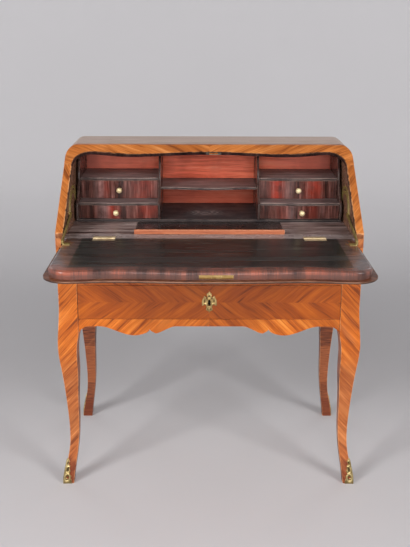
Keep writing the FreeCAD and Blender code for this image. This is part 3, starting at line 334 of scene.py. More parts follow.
def veneer(name, tones, angle, centre, up=(0, 0, 1), fold_up=False, upper_tones=None, inner_bands=False,
           dark=None, rim=None, foot=None, calm=1.0, flow=0.01, wear=0.7, painted_dark=None):
    """Striped veneer, mirrored about the desk's middle, with stripes from front to back on a face that looks
    sideways. Upper tones take over above the legs. Dark, rim and painted_dark give the share of dark wood,
    which on the frame is painted shade, of a pale rim of painted highlight and of painted shadow, and below
    foot the wood is deep red."""
    p = Paint(name)
    v = p.along(up, centre)
    depth = p.along((0, 1, 0), centre)
    sideways = p.spread(p.fold(p.nx), 0.7, 0.72)
    right = p.math("GREATER_THAN", p.x, 0)
    above = p.math("GREATER_THAN", v, 0)
    behind = p.math("GREATER_THAN", depth, 0)
    u = p.add(p.times(p.fold(p.x), p.math("SUBTRACT", 1, sideways)), p.times(p.fold(depth), sideways))
    leaf = p.add(p.times(right, 1.7), p.times(behind, 0.6), p.times(sideways, 5.2))
    if fold_up:
        v = p.fold(v)
        leaf = p.add(leaf, p.times(above, 3.1))
    run = math.radians(angle)
    across = p.add(p.times(u, -math.sin(run)), p.times(v, math.cos(run)))
    along = p.add(p.times(u, math.cos(run)), p.times(v, math.sin(run)))
    tone = grain(p, across, along, leaf, flow)
    p.colour = four_tones(p, tone, tones, calm)
    if upper_tones:
        p.stain(four_tones(p, tone, upper_tones, calm), p.spread(p.z, *POST_START))
    if inner_bands:
        inward = p.math("MAXIMUM", p.times(p.math("SIGN", p.x), p.nx, -1),
                        p.times(p.math("SIGN", depth), p.ny, -1))
        p.stain(cross_bands(p, p.z), p.spread(inward, 0.5, 0.6))
    patchy = p.spread(p.noise(p.place, 11, 3), 0.42, 0.66)
    p.stain(tones[0], patchy, 0.22)
    faded = p.spread(p.noise(p.vector(across, p.times(along, 0.2), p.add(leaf, 2)), 24), 0.55, 0.7)
    p.stain(tones[3], faded, 0.2)
    if foot:
        p.stain(RED_FOOT, p.spread(p.z, foot, foot - 0.02, 0, 0.6))
    # Dark wood; on the frame it is painted shade
    if dark:
        p.stain(four_tones(p, tone, RIM_TONES), dark(p))
    # A pale rim of painted highlight, in patches of two tints
    if rim:
        rubbed = p.spread(p.noise(p.place, 26, 3), 0.35, 0.65)
        p.stain(p.mix(rubbed, *HIGHLIGHT_RIM), rim(p))
    p.wear(PALE_ARRIS, wear)
    # Painted shadow, and darkening where the mask gives it
    if painted_dark:
        p.stain(DARK_TINT, painted_dark(p))
    rough = p.uneven(p.noise(p.place, 35, 3), 0.34, 0.5)
    return p.finish(rough, tone, bump=0.12, coat=0.06, coat_roughness=0.2, specular=0.28)


def dark_wood(name, tones, front_wear=0.2, edge_wear_glint=0.35, rough=(0.2, 0.34), stretch=0.06, front_dark=0.0,
              knot=None, coat=0.05, calm=1.5):
    """Dark polished wood with its grain from side to side, paler where its front is rubbed and on its arrises,
    which are wear and painted highlight. Front dark deepens what faces forward, and a knot (place, reach)
    draws the grain into rings."""
    p = Paint(name)
    flow = p.times(p.noise(p.place, 7), 0.02)
    line = p.vector(p.times(p.x, stretch), p.add(p.y, flow), p.add(p.z, flow))
    tone = p.fibres(line, 120, 520)
    p.colour = four_tones(p, tone, tones, calm)
    if knot:
        (x, y), reach = knot
        ragged = p.times(p.add(p.noise(line, 60, 3, 0.6), -0.5), 0.07)
        far = p.add(p.far(p.add(p.x, -x), p.times(p.add(p.y, -y), 1.5)), ragged)
        ring = p.spread(p.math("SINE", p.times(far, 420)), 0.0, 0.8)
        p.stain(KNOT_GREY, ring, p.spread(far, reach, reach * 0.5), 0.7)
    if front_dark:
        p.stain(RIM_TONES[0], p.spread(p.ny, -0.5, -0.9), front_dark)
    speckle = p.times(p.spread(p.nz, 0.6, 0.9), p.spread(p.noise(line, 46, 4, 0.7), 0.54, 0.66))
    p.stain(tones[3], speckle, front_wear)
    rubbed = p.times(p.spread(p.ny, -0.5, -0.85), p.spread(p.noise(p.place, 38, 4, 0.65), 0.4, 0.62))
    p.stain(WORN_GLINT_GREY, rubbed, front_wear)
    # Paler arrises: wear, and on the shelves and the bay's floor a painted highlight
    p.wear(WORN_GLINT_GREY, edge_wear_glint, 24)
    smooth = p.uneven(p.noise(p.place, 28, 4), *rough)
    return p.finish(smooth, tone, bump=0.12, coat=coat, coat_roughness=0.18, specular=0.25)


def oak(name, direction):
    """Plain oak for the hidden work, with its grain along one axis."""
    p = Paint(name)
    squeeze = [0.05 if axis == direction else 1.0 for axis in "xyz"]
    line = p.vector(*[p.times(place, share) for place, share in zip((p.x, p.y, p.z), squeeze)])
    tone = p.fibres(line, 75, 600, (0.62, 0.36), detail=4, twist=0.4)
    p.colour = p.ramp(tone, (0.34, srgb(92, 62, 38)), (0.5, srgb(146, 106, 68)), (0.66, srgb(178, 138, 94)))
    dirt = p.spread(p.noise(p.place, 5, 4), 0.45, 0.7)
    p.stain(srgb(96, 68, 46), dirt, 0.5)
    p.wear(srgb(190, 156, 116), 0.5)
    return p.finish(p.uneven(tone, 0.55, 0.75), tone, bump=0.3)


# Red back: where it turns pinker and then darker outward, and the painted shade on the lower part of the
# middle bay, under its shelf
PINK_FROM = (0.13, 0.3)
DARK_ENDS = (0.32, 0.37)
BAY_HALF = (0.15, 0.14)
BAY_SHADE = (0.802, 0.79)


def red_board(name):
    """Thin red-stained board behind the pigeonholes, pinker and duller in the outer bays, with painted shade low
    in the middle bay.
    """
    p = Paint(name)
    line = p.vector(p.times(p.x, 0.05), p.y, p.z)
    tone = p.fibres(line, 80, 560, (0.66, 0.3), twist=0.3)
    p.colour = p.ramp(tone, (0.34, srgb(196, 80, 53)), (0.5, srgb(246, 117, 84)), (0.66, srgb(253, 152, 118)))
    pink = p.spread(p.fold(p.x), *PINK_FROM)
    p.stain(srgb(250, 140, 118), pink, 0.55)
    # Painted shade below the middle shelf
    deep = p.times(p.spread(p.z, *BAY_SHADE), p.spread(p.fold(p.x), *BAY_HALF))
    p.stain(srgb(140, 48, 30), deep, 0.45)
    smoky = p.spread(p.noise(p.place, 13, 3), 0.45, 0.68)
    p.stain(srgb(132, 56, 46), smoky, 0.25)
    p.stain(srgb(96, 38, 32), p.spread(p.fold(p.x), *DARK_ENDS, 0, 0.5))
    return p.finish(p.uneven(p.noise(p.place, 30, 3), 0.36, 0.52), tone, specular=0.2)


def batten_wood(name):
    """Orange, close-grained wood."""
    p = Paint(name)
    line = p.vector(p.times(p.x, 0.05), p.y, p.z)
    tone = p.fibres(line, 160, 620, (0.6, 0.35))
    p.colour = p.ramp(tone, (0.32, srgb(150, 76, 46)), (0.5, srgb(184, 104, 66)), (0.68, srgb(204, 130, 90)))
    p.wear(srgb(230, 166, 128), 0.5)
    return p.finish(p.uneven(tone, 0.34, 0.5), tone)


def drawer_veneer(name, flames, painted_sheens):
    """Dark red veneer with upright streaks. Flames are redder stretches and painted sheens paler stretches of
    painted highlight along x, each as (place, half width, share)."""
    p = Paint(name)
    line = p.vector(p.x, p.times(p.y, 0.3), p.times(p.z, 0.05))
    tone = p.fibres(line, 85, 420)
    p.colour = four_tones(p, tone, SMALL_TONES, 1.2)
    ragged = p.times(p.noise(line, 90, 4, 0.65), 0.04)
    uneven = p.spread(p.noise(p.place, 42, 3), 0.3, 0.65, 0.35, 1.0)
    for stretches, tint in ((flames, FLAME), (painted_sheens, PAINTED_SHEEN)):
        for place, half, share in stretches:
            far = p.add(p.fold(p.add(p.x, -place)), ragged, -0.02)
            p.stain(tint, p.spread(far, half + 0.012, half * 0.2), uneven, share)
    inside = p.spread(p.ny, -0.3, -0.15)
    p.stain(four_tones(p, tone, SMALL_INSIDE), inside)
    p.wear(WORN_GLINT_GREY, 0.4)
    rough = p.uneven(p.noise(p.place, 30, 4), 0.24, 0.38)
    return p.finish(rough, tone, bump=0.12, coat=0.04, coat_roughness=0.15, specular=0.18)


# Flap: edge and fading of the redder border, the lower edge darkened as painted shade, and the rubbed corner
# beside a hinge
BORDER_EDGE = (-0.034, -0.022)
BORDER_FADE = (core_low.y + 0.07, core_low.y + 0.03)
LOWER_EDGE = (core_low.z + 0.013, core_low.z + 0.009)
RUB_PLACE = (clamp_high.x - 0.012, hinge_y - 0.06)
RUB_REACH = (0.02, 0.05)


def flap_wood(name, tones):
    """Dark wood of the flap's writing side, with a redder border, a banded edge and rubbed corners by the
    hinges."""
    p = Paint(name)
    flow = p.times(p.noise(p.place, 6), 0.03)
    line = p.vector(p.times(p.x, 0.07), p.add(p.y, flow), p.z)
    tone = p.fibres(line, 95, 480, (0.66, 0.32), detail=4, roughness=0.62)
    p.colour = four_tones(p, tone, tones, 1.4)
    scratch = p.spread(p.noise(p.vector(p.times(p.x, 0.03), p.add(p.y, flow), p.z), 330, 1), 0.68, 0.74)
    scuffed = p.spread(p.noise(p.place, 9, 3), 0.42, 0.6)
    p.stain(srgb(128, 122, 116), scratch, scuffed, 0.6)
    past = past_edge(p, p.times(p.y, -1), -core_low.y, flap_corner)
    fibre = p.noise(p.vector(p.x, p.times(p.y, 0.3), p.times(p.z, 0.08)), 260, 3, 0.6)
    cloud = p.noise(p.vector(p.x, p.times(p.y, 0.2), p.times(p.z, 0.2)), 21)
    border = p.ramp(p.add(p.times(cloud, 0.75), p.times(fibre, 0.35)), (0.42, srgb(68, 48, 45)),
                    (0.54, srgb(119, 77, 67)), (0.66, srgb(166, 94, 74)))
    band = p.times(p.spread(past, *BORDER_EDGE), p.spread(p.y, *BORDER_FADE))
    p.stain(border, band, 0.6)
    upright = p.spread(p.nz, 0.8, 0.3)
    p.stain(border, upright, 0.85)
    # Painted shade on the lower half of the upright edge
    lower = p.times(upright, p.spread(p.z, *LOWER_EDGE))
    p.stain(srgb(88, 62, 55), lower, 0.6)
    rubbed = p.spot(p.fold(p.x), p.y, RUB_PLACE, RUB_REACH, 1.1)
    p.stain(srgb(150, 86, 48), rubbed, 0.5)
    p.wear(srgb(150, 104, 90), 0.4)
    rough = p.uneven(p.noise(line, 22, 4), 0.2, 0.36)
    return p.finish(rough, tone, coat=0.08, coat_roughness=0.15, specular=0.3)


def gilt(name, bright, dull, rough=(0.3, 0.48), speckled=0.3, metal=1.0, shaded_below=None):
    """Old gilt brass, duller in patches, dark in its hollows and rubbed bright on its arrises. Below the level
    shaded_below it is painted brown as shade."""
    p = Paint(name)
    cloud = p.spread(p.noise(p.place, 45, 4, 0.55), 0.35, 0.7)
    speck = p.noise(p.place, 700)
    p.colour = p.mix(p.times(cloud, 0.8), bright, dull)
    p.stain(srgb(104, 80, 40), p.spread(speck, 0.62, 0.72), speckled)
    p.stain(srgb(58, 42, 18), p.attribute("hollow"), 0.85)
    # Painted shade: brown below a given level
    if shaded_below:
        brown = p.spread(p.z, shaded_below + 0.001, shaded_below - 0.001)
        p.stain(srgb(122, 84, 46), brown, 0.7)
    p.wear(srgb(250, 230, 178), 0.6, 120)
    roughness = p.uneven(p.noise(p.place, 160, 3), *rough)
    return p.finish(roughness, speck, bump=0.08, depth=0.0002, metal=metal)


# Studio paper: where it looks paler, towards the back and towards the rim, and how much
PALE_BACK = (0.5, 4.7)
PALE_RIM = (3.4, 5.0)
PALE_GLOW = 0.42


def floor_paper(name, colour):
    """Pale seamless paper with a faint unevenness. Away from the desk it looks as pale as beside it, which
    adds no light to the desk."""
    p = Paint(name)
    cloud = p.noise(p.place, 1.3, 3)
    fibre = p.noise(p.place, 420)
    p.colour = p.mix(p.times(cloud, 0.1), colour, srgb(190, 186, 187))
    ray = p.node("LightPath")
    seen = p.add(ray["Is Camera Ray"], ray["Is Glossy Ray"], ray["Is Transmission Ray"])
    away = p.math("MAXIMUM", p.spread(p.y, *PALE_BACK), p.spread(p.far(p.x, p.y), *PALE_RIM))
    glow = p.times(p.math("MINIMUM", seen, 1), away, PALE_GLOW)
    return p.finish(p.uneven(fibre, 0.78, 0.92), fibre, bump=0.03, glow=glow)


# Angles of edges that are dissolved, that are arrises, and that are shaded as creases, and reach of a weld
FLAT = math.radians(0.6)
SHARP = math.radians(30)
SMOOTH = math.radians(42)
WELD = 1e-6

# Radii of rounded arrises, from the opening's edge to plates of metal
BOLD = 0.0028
WORN = 0.0015
EASED = 0.0014
SOFT = 0.0012
PLAIN = 0.001
SAWN = 0.0008
THIN = 0.0005
BAR = 0.0003
METAL = 0.0002
BOLD_STEPS = 4


def clip(value, low=0.0, high=1.0):
    """A value kept between two limits."""
    return max(low, min(high, value))


def bell(u, v, place, wide, tall):
    """A soft bump round a place, 1 in its middle."""
    return math.exp(-((u - place[0]) / wide) ** 2 - ((v - place[1]) / tall) ** 2)


def node_shape(node):
    """A clean copy of a node's mesh."""
    shape = bmesh.new()
    shape.from_mesh(NODES[node].data)
    bmesh.ops.remove_doubles(shape, verts=shape.verts, dist=WELD)
    bmesh.ops.dissolve_limit(shape, angle_limit=FLAT, verts=shape.verts, edges=shape.edges)
    return shape


def outward(shape):
    """Turns the faces of a closed shape outward."""
    bmesh.ops.recalc_face_normals(shape, faces=shape.faces)


def skin(shape, rings):
    """Faces from each ring of points to the next. A ring of one point is a pole."""
    for inner, outer in zip(rings, rings[1:]):
        count = max(len(inner), len(outer))
        for step in range(count):
            after = (step + 1) % count
            loop = (inner[step % len(inner)], inner[after % len(inner)],
                    outer[after % len(outer)], outer[step % len(outer)])
            shape.faces.new(list(dict.fromkeys(loop)))


def stack(levels):
    """A closed shape of rings of points, one above the other."""
    shape = bmesh.new()
    rings = [[shape.verts.new(point) for point in level] for level in levels]
    skin(shape, rings)
    shape.faces.new(rings[0][::-1])
    shape.faces.new(rings[-1])
    outward(shape)
    return shape


def put(name, data):
    """A new object in the scene."""
    made = bpy.data.objects.new(name, data)
    bpy.context.scene.collection.objects.link(made)
    return made


def put_shape(name, shape, finish=None):
    """A new smooth-shaded object of a shape, which is used up."""
    mesh = bpy.data.meshes.new(name)
    shape.to_mesh(mesh)
    shape.free()
    if finish:
        mesh.materials.append(finish)
    for face in mesh.polygons:
        face.use_smooth = True
    return put(name, mesh)


def carve(shape, tool):
    """What two closed shapes have in common."""
    pieces = [put_shape("carved", each) for each in (shape, tool)]
    step = pieces[0].modifiers.new("carve", "BOOLEAN")
    step.operation = "INTERSECT"
    step.solver = "EXACT"
    step.object = pieces[1]
    made = bmesh.new()
    made.from_object(pieces[0], bpy.context.evaluated_depsgraph_get())
    for piece in pieces:
        mesh = piece.data
        bpy.data.objects.remove(piece)
        bpy.data.meshes.remove(mesh)
    return made


def sharp_edges(shape, among=None):
    """Arrises of a shape, all or those that a test picks."""
    return [e for e in shape.edges
            if e.is_manifold and e.calc_face_angle(0) > SHARP and (among is None or among(e))]


def round_off(shape, edges, radius, steps, layer):
    """Rounds edges and marks the new faces."""
    if not edges:
        return
    made = bmesh.ops.bevel(shape, geom=edges, offset=radius, segments=steps, profile=0.5, affect="EDGES",
                           clamp_overlap=True)
    for face in made["faces"]:
        face[layer] = 1.0


def to_piece(name, shape, finish, node):
    """Turns a shape into a piece that rides with a node."""
    piece = put_shape(name, shape, finish)
    piece.data.set_sharp_from_angle(angle=SMOOTH)
    normals = piece.modifiers.new("normals", "WEIGHTED_NORMAL")
    normals.keep_sharp = True
    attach(piece, BODY_OF[node])
    return piece


def stand_in(node, ending, shape, finish):
    """Turns a shape into the piece that is seen in a node's place."""
    piece = to_piece(node + ending, shape, finish, node)
    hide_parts(node)
    return piece


def dress(finish, radius, *nodes, steps=2, bold=None, within=None, among=None):
    """Stands copies of nodes, with their arrises rounded, in the nodes' place. Bold picks edges to round
    more, within makes a shape to keep inside, and among picks the edges that are rounded at all."""
    for node in nodes:
        shape = node_shape(node)
        if within:
            shape = carve(shape, within())
        layer = shape.faces.layers.float.new("edge")
        if bold:
            round_off(shape, sharp_edges(shape, bold), BOLD, BOLD_STEPS, layer)
        round_off(shape, sharp_edges(shape, among), radius, steps, layer)
        stand_in(node, "_finished", shape, finish)


# Flap's edge: its rounding, room to spare outside the solids, steps of the curves, and the lock plate's metal
FLAP_ROUND = 0.010
SPARE = 0.0005
CORNER_STEPS = 12
WAVE_STEPS = 60
ROUND_STEPS = 8
SELVEDGE_METAL = 0.002


def flap_envelope(rounded=True):
    """Slab as wide as the flap, with a large rounding along its upper front and sides, or cut off below."""
    corner_y = core_low.y + flap_corner
    quarter = [math.pi / 2 * step / CORNER_STEPS for step in range(CORNER_STEPS + 1)]
    sides = []
    for sign in (-1, 1):
        corner = [(sign * (flap_ends + flap_corner * math.cos(a)), corner_y - flap_corner * math.sin(a),
                   sign * math.cos(a), -math.sin(a)) for a in quarter]
        sides.append([(sign * clamp_high.x, hinge_y + FRONT_BAND, sign, 0)] + corner)
    front = [flap_ends * (2 * step / WAVE_STEPS - 1) for step in range(1, WAVE_STEPS)]
    waved = [(x, core_low.y + wave_drop(x), 0, -1) for x in front]
    outline = sides[0] + waved + sides[1][::-1]
    levels = [(core_low.z - FRONT_BAND, -SPARE)]
    reach = FLAP_ROUND + SPARE
    for step in range(ROUND_STEPS + 1):
        turn = math.pi / 2 * step / ROUND_STEPS
        level = core_high.z - FLAP_ROUND + reach * math.sin(turn)
        levels.append((level, reach * (1 - math.cos(turn)) - SPARE))
    if not rounded:
        levels = levels[:2]
    return stack([[(x - nx * inset, y - ny * inset, z) for x, y, nx, ny in outline] for z, inset in levels])


def lock_slip(name, finish):
    """A slip of wood let in above the lock's selvedge, flush with the flap's rounded edge."""
    low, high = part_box("flap_lock")
    back = low.y + SELVEDGE_METAL
    corners = ((low.x, core_low.y), (high.x, core_low.y), (high.x, back), (low.x, back))
    block = stack([[(x, y, z) for x, y in corners] for z in (core_high.z - FLAP_ROUND, high.z)])
    to_piece(name, carve(block, flap_envelope()), finish, "flap_core")


# Turned profiles, as (radius, reach) shares
KNOB_PROFILE = ((0.0, 0.0), (0.74, 0.0), (0.76, 0.05), (0.62, 0.12), (0.36, 0.18), (0.32, 0.26), (0.44, 0.34),
                (0.78, 0.42), (0.96, 0.54), (1.0, 0.66), (0.92, 0.8), (0.7, 0.92), (0.4, 0.98), (0.0, 1.0))
KNOB_TURNS = 40
PIN_PROFILE = ((0.0, -0.6), (1.0, -0.6), (1.0, 0.1), (0.86, 0.55), (0.5, 0.88), (0.0, 1.0))
PIN_TURNS = 16
PIN_RADIUS = 0.0011
PIN_HEAD = 0.7

# Key plate's pins: distances from its middle, and how deep they stand, as a share of the metal
PIN_REACHES = (0.0205, -0.0195)
PIN_DEPTH = 0.25

# Slotted screws: levels, half angle of the slot, and turn of the first and from each to the next
SCREW_HEAD = 0.0003
SCREW_SLOT = -0.0005
SCREW_FOOT = -0.0009
SLOT_ANGLE = 0.17
FIRST_TURN = 0.6
NEXT_TURN = 1.9
ARC_STEPS = 10


def lathe(shape, foot, way, radius, length, profile, turns):
    """Turns a profile of (radius, reach) shares round an axis that leaves a foot along a direction."""
    side = way.orthogonal().normalized()
    over = way.cross(side)
    rings = []
    for wide, out in profile:
        middle = foot + way * (out * length)
        spokes = [2 * math.pi * step / turns for step in range(turns if wide else 1)]
        rings.append([shape.verts.new(middle + (side * math.cos(a) + over * math.sin(a)) * (radius * wide))
                      for a in spokes])
    skin(shape, rings)


def turn_knob(node, finish):
    """A turned knob with a collar, waist and flattened ball, in place of the plainer CAD one."""
    low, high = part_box(node)
    foot = Vector(((low.x + high.x) / 2, high.y, (low.z + high.z) / 2))
    shape = bmesh.new()
    lathe(shape, foot, Vector((0, -1, 0)), (high.x - low.x) / 2, high.y - low.y, KNOB_PROFILE, KNOB_TURNS)
    outward(shape)
    piece = stand_in(node, "_turned", shape, finish)
    smooth = piece.modifiers.new("smooth", "SUBSURF")
    smooth.levels = 1
    smooth.render_levels = 1


def plate_up(axis):
    """Upward axis of a key plate that is thin along an axis, and which way along it is up when closed."""
    return 3 - axis, -1 if axis == 2 else 1


def plate_pins(name, node, axis, finish):
    """Round-headed pins above and below the keyhole of a key plate."""
    low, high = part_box(node)
    up, rise = plate_up(axis)
    way = Vector()
    way[axis] = -1
    shape = bmesh.new()
    for reach in PIN_REACHES:
        place = Vector()
        place[axis] = low[axis] + (high[axis] - low[axis]) * PIN_DEPTH
        place[up] = (low[up] + high[up]) / 2 + rise * reach
        lathe(shape, place, way, PIN_RADIUS, PIN_RADIUS * PIN_HEAD, PIN_PROFILE, PIN_TURNS)
    outward(shape)
    to_piece(name, shape, finish, node)


def screws(name, node, places, way, finish, radius=0.0026):
    """Slotted screw heads, each turned a little differently, that hold a plate."""
    way = Vector(way)
    side = way.orthogonal().normalized()
    over = way.cross(side)
    shape = bmesh.new()
    for count, place in enumerate(places):

        def at(angle, level, place=Vector(place), turn=FIRST_TURN + count * NEXT_TURN):
            spoke = side * math.cos(angle + turn) + over * math.sin(angle + turn)
            return shape.verts.new(place + spoke * radius + way * level)

        slots = []
        feet = []
        for start in (0, math.pi):
            angles = [start + SLOT_ANGLE + (math.pi - 2 * SLOT_ANGLE) * step / ARC_STEPS
                      for step in range(ARC_STEPS + 1)]
            top = [at(angle, SCREW_HEAD) for angle in angles]
            foot = [at(angle, SCREW_FOOT) for angle in angles]
            floor = [at(angle, SCREW_SLOT) for angle in (angles[0], angles[-1])]
            shape.faces.new(top)
            shape.faces.new((top[0], top[-1], floor[1], floor[0]))
            shape.faces.new((top[0], top[1], foot[1], foot[0], floor[0]))
            shape.faces.new((top[-2], top[-1], floor[1], foot[-1], foot[-2]))
            for loop in zip(top[1:-2], top[2:-1], foot[2:-1], foot[1:-2]):
                shape.faces.new(loop)
            slots.append(floor)
            feet.append(foot)
        shape.faces.new(slots[0] + slots[1])
        for one, two in ((0, 1), (1, 0)):
            shape.faces.new((slots[one][1], slots[two][0], feet[two][0], feet[one][-1]))
        shape.faces.new(feet[0] + feet[1])
    outward(shape)
    to_piece(name, shape, finish, node)


def plate_loops(node, axis):
    """Outline and keyhole of a flat plate, as rows of points in order, seen along its thin axis."""
    shape = node_shape(node)
    rims = {}
    for edge in shape.edges:
        front = [face for face in edge.link_faces if face.normal[axis] < -0.9]
        if len(front) == 1:
            for vert in edge.verts:
                rims.setdefault(vert, []).append(edge.other_vert(vert))
    loops = []
    left = set(rims)
    while left:
        row = [min(left, key=lambda vert: tuple(vert.co))]
        onward = rims[row[0]]
        while onward:
            row.append(onward[0])
            onward = [vert for vert in rims[row[-1]] if vert in left and vert not in row]
        left -= set(row)
        loops.append([vert.co.copy() for vert in row])
    shape.free()
    return sorted(loops, key=len, reverse=True)


def even_row(points, count):
    """Points spaced evenly along a closed row."""
    lengths = [(b - a).length for a, b in zip(points, points[1:] + points[:1])]
    total = sum(lengths)
    row = []
    index = 0
    done = 0.0
    for step in range(count):
        goal = total * step / count
        while done + lengths[index] < goal:
            done += lengths[index]
            index += 1
        share = (goal - done) / lengths[index]
        row.append(points[index].lerp(points[(index + 1) % len(points)], share))
    return row


# Key plate, in shares of its half sizes: leaf tips (place, reach, move) and sunk eyes (place, half sizes)
PLATE_POINTS = 180
TIP_STRETCH = 1.12
LEAF_TIPS = (((0.97, -0.12), 0.13, (0.0, -0.16)), ((0.62, 0.48), 0.12, (0.04, 0.09)),
             ((0.4, -0.62), 0.11, (0.08, -0.05)), ((0.27, 0.76), 0.1, (0.06, -0.05)))
EYES = (((0.63, 0.12), (0.1, 0.2)), ((0.62, -0.2), (0.1, 0.07)), ((0.0, 0.56), (0.12, 0.07)),
        ((0.2, -0.6), (0.07, 0.1)), ((0.34, 0.36), (0.08, 0.08)))

# Height of the key plate's relief from keyhole to outline, as (share of the way, share of the metal)
PLATE_RELIEF = ((0.0, 0.8), (0.08, 1.0), (0.18, 0.95), (0.27, 0.62), (0.36, 0.62), (0.48, 0.84), (0.56, 0.9),
                (0.64, 0.92), (0.72, 0.86), (0.8, 0.74), (0.87, 0.6), (0.94, 0.45), (1.0, 0.3))

# Folds that run out to the leaves' tips, depth of the eyes, and the share of metal that is always left
FOLD_SPAN = 9
FOLD_REACH = 0.0012
FOLD_HEIGHT = 0.16
EYE_DEPTH = 0.5
LEAST_METAL = 0.2

# Dark hollows, which are fainter near the outline and deepest in the eyes
HOLLOW_LEVEL = 0.62
HOLLOW_RANGE = 0.2
EDGE_START = 0.8
EDGE_DARK = 0.25
EYE_DARK = 1.2


def sculpt_plate(node, finish, axis):
    """Cast key plate: raised rim round the keyhole and leaves that swell, fold and thin out to their edge."""
    low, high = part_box(node)
    back, metal = high[axis], high[axis] - low[axis]
    centre = (low + high) / 2
    up, rise = plate_up(axis)
    half = (high.x - centre.x, (high[up] - centre[up]) * TIP_STRETCH)

    def share_of(point):
        return abs(point.x - centre.x) / half[0], (point[up] - centre[up]) / half[1] * rise

    def turn(point):
        return math.atan2(point.x - centre.x, point[up] - centre[up])

    outline, hole = plate_loops(node, axis)[:2]
    outline = even_row(outline, PLATE_POINTS * 2)
    for point in outline:
        point[up] = centre[up] + (point[up] - centre[up]) * TIP_STRETCH
        u, v = share_of(point)
        for place, wide, (out, lift) in LEAF_TIPS:
            pull = bell(u, v, place, wide, wide)
            point.x += math.copysign(half[0] * out * pull, point.x - centre.x)
            point[up] += half[1] * lift * pull * rise
    outline = even_row(outline, PLATE_POINTS)
    if sum(a.x * b[up] - b.x * a[up] for a, b in zip(outline, outline[1:])) > 0:
        outline.reverse()
    top = max(range(PLATE_POINTS), key=lambda k: outline[k][up])
    outline = outline[top:] + outline[:top]
    reach = [math.hypot(point.x - centre.x, point[up] - centre[up]) for point in outline]
    folds = []
    for k in range(PLATE_POINTS):
        near = [reach[(k + shift) % PLATE_POINTS] for shift in range(-FOLD_SPAN, FOLD_SPAN + 1)]
        folds.append(clip((reach[k] - sum(near) / len(near)) / FOLD_REACH, -1))
    spokes = sorted(even_row(hole, PLATE_POINTS * 2), key=turn)
    inner = [min(spokes, key=lambda spoke: abs(turn(spoke) - turn(point))) for point in outline]
    shape = bmesh.new()
    hollow = shape.verts.layers.float.new("hollow")
    rings = []
    for share, height in PLATE_RELIEF:
        ring = []
        for start, end, fold in zip(inner, outline, folds):
            place = start.lerp(end, share)
            level = height + FOLD_HEIGHT * fold * math.sin(math.pi * share)
            u, v = share_of(place)
            eye = max(bell(u, v, middle, *sizes) for middle, sizes in EYES)
            place[axis] = back - metal * clip(level - EYE_DEPTH * eye, LEAST_METAL)
            vert = shape.verts.new(place)
            sunk = clip((HOLLOW_LEVEL - level) / HOLLOW_RANGE) * (1.0 if share < EDGE_START else EDGE_DARK)
            vert[hollow] = max(sunk, clip(EYE_DARK * eye), 0.0 if share else 1.0)
            ring.append(vert)
        rings.append(ring)
    behind = []
    for ring in (rings[0], rings[-1]):
        row = []
        for vert in ring:
            place = vert.co.copy()
            place[axis] = back
            row.append(shape.verts.new(place))
            row[-1][hollow] = 1.0
        behind.append(row)
    skin(shape, [behind[0]] + rings + behind[::-1])
    bmesh.ops.remove_doubles(shape, verts=shape.verts, dist=WELD)
    bmesh.ops.dissolve_degenerate(shape, dist=WELD, edges=shape.edges)
    outward(shape)
    stand_in(node, "_cast", shape, finish)


# Shoes: longest facet, rounds of halving for it, and how squarely a face looks out of the corner
SABOT_FACET = 0.0016
SABOT_ROUNDS = 6
LOOKS_OUT = 0.2

# Scrolls on either side of a shoe's corner: place and half sizes, across and upward
SCROLLS = ((0.0073, 0.0182, 0.0050, 0.0120), (0.0060, 0.0430, 0.0038, 0.0095),
           (0.0032, 0.0620, 0.0020, 0.0070))

# Relief of a shoe: the corner's rib, the scrolls and their eyes, and how it starts above the floor
RIB_HEIGHT = 0.6
RIB_HALF = 0.0016
SCROLL_HALF = 0.3
EYE_START = 0.85
EYE_SOFT = 0.2
FOOT_START = 0.01
FOOT_SOFT = 0.1
DULL = 0.75
RELIEF = 0.0018
EYE_SUNK = 0.0006


def sculpt_sabots(node, finish):
    """Cast shoes: a raised rib on the corner and on either side three scrolls with sunk, dark eyes."""
    low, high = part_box(node)
    shape = node_shape(node)
    bmesh.ops.triangulate(shape, faces=shape.faces)
    for _ in range(SABOT_ROUNDS):
        long = [edge for edge in shape.edges if edge.calc_length() > SABOT_FACET]
        if not long:
            break
        bmesh.ops.subdivide_edges(shape, edges=long, cuts=1)
        bmesh.ops.triangulate(shape, faces=[face for face in shape.faces if len(face.verts) > 3])
    shape.normal_update()
    hollow = shape.verts.layers.float.new("hollow")
    to_front = -1 if high.y < case_mid else 1
    corner_x = max(abs(low.x), abs(high.x))
    corner_y = low.y if to_front < 0 else high.y
    moves = []
    for vert in shape.verts:
        out = Vector((math.copysign(1, vert.co.x), to_front, 0)).normalized()
        if vert.normal.dot(out) < LOOKS_OUT:
            continue
        corner = Vector((math.copysign(corner_x, vert.co.x), corner_y, 0))
        across = abs((vert.co - corner).cross(out).z)
        level = vert.co.z - low.z
        relief = RIB_HEIGHT * math.exp(-(across / RIB_HALF) ** 2)
        eye = 0.0
        for place, middle, wide, tall in SCROLLS:
            far = math.hypot((across - place) / wide, (level - middle) / tall)
            relief = max(relief, math.exp(-((far - 1) / SCROLL_HALF) ** 2))
            eye = max(eye, clip((EYE_START - far) / EYE_SOFT))
        swell = clip((level / (high.z - low.z) - FOOT_START) / FOOT_SOFT)
        vert[hollow] = max(eye, DULL * (1 - relief))
        moves.append((vert, vert.normal * ((RELIEF * relief - EYE_SUNK * eye) * swell)))
    for vert, move in moves:
        vert.co += move
        for axis in range(3):
            vert.co[axis] = clip(vert.co[axis], cad_box[0][axis], cad_box[1][axis])
    stand_in(node, "_cast", shape, finish)


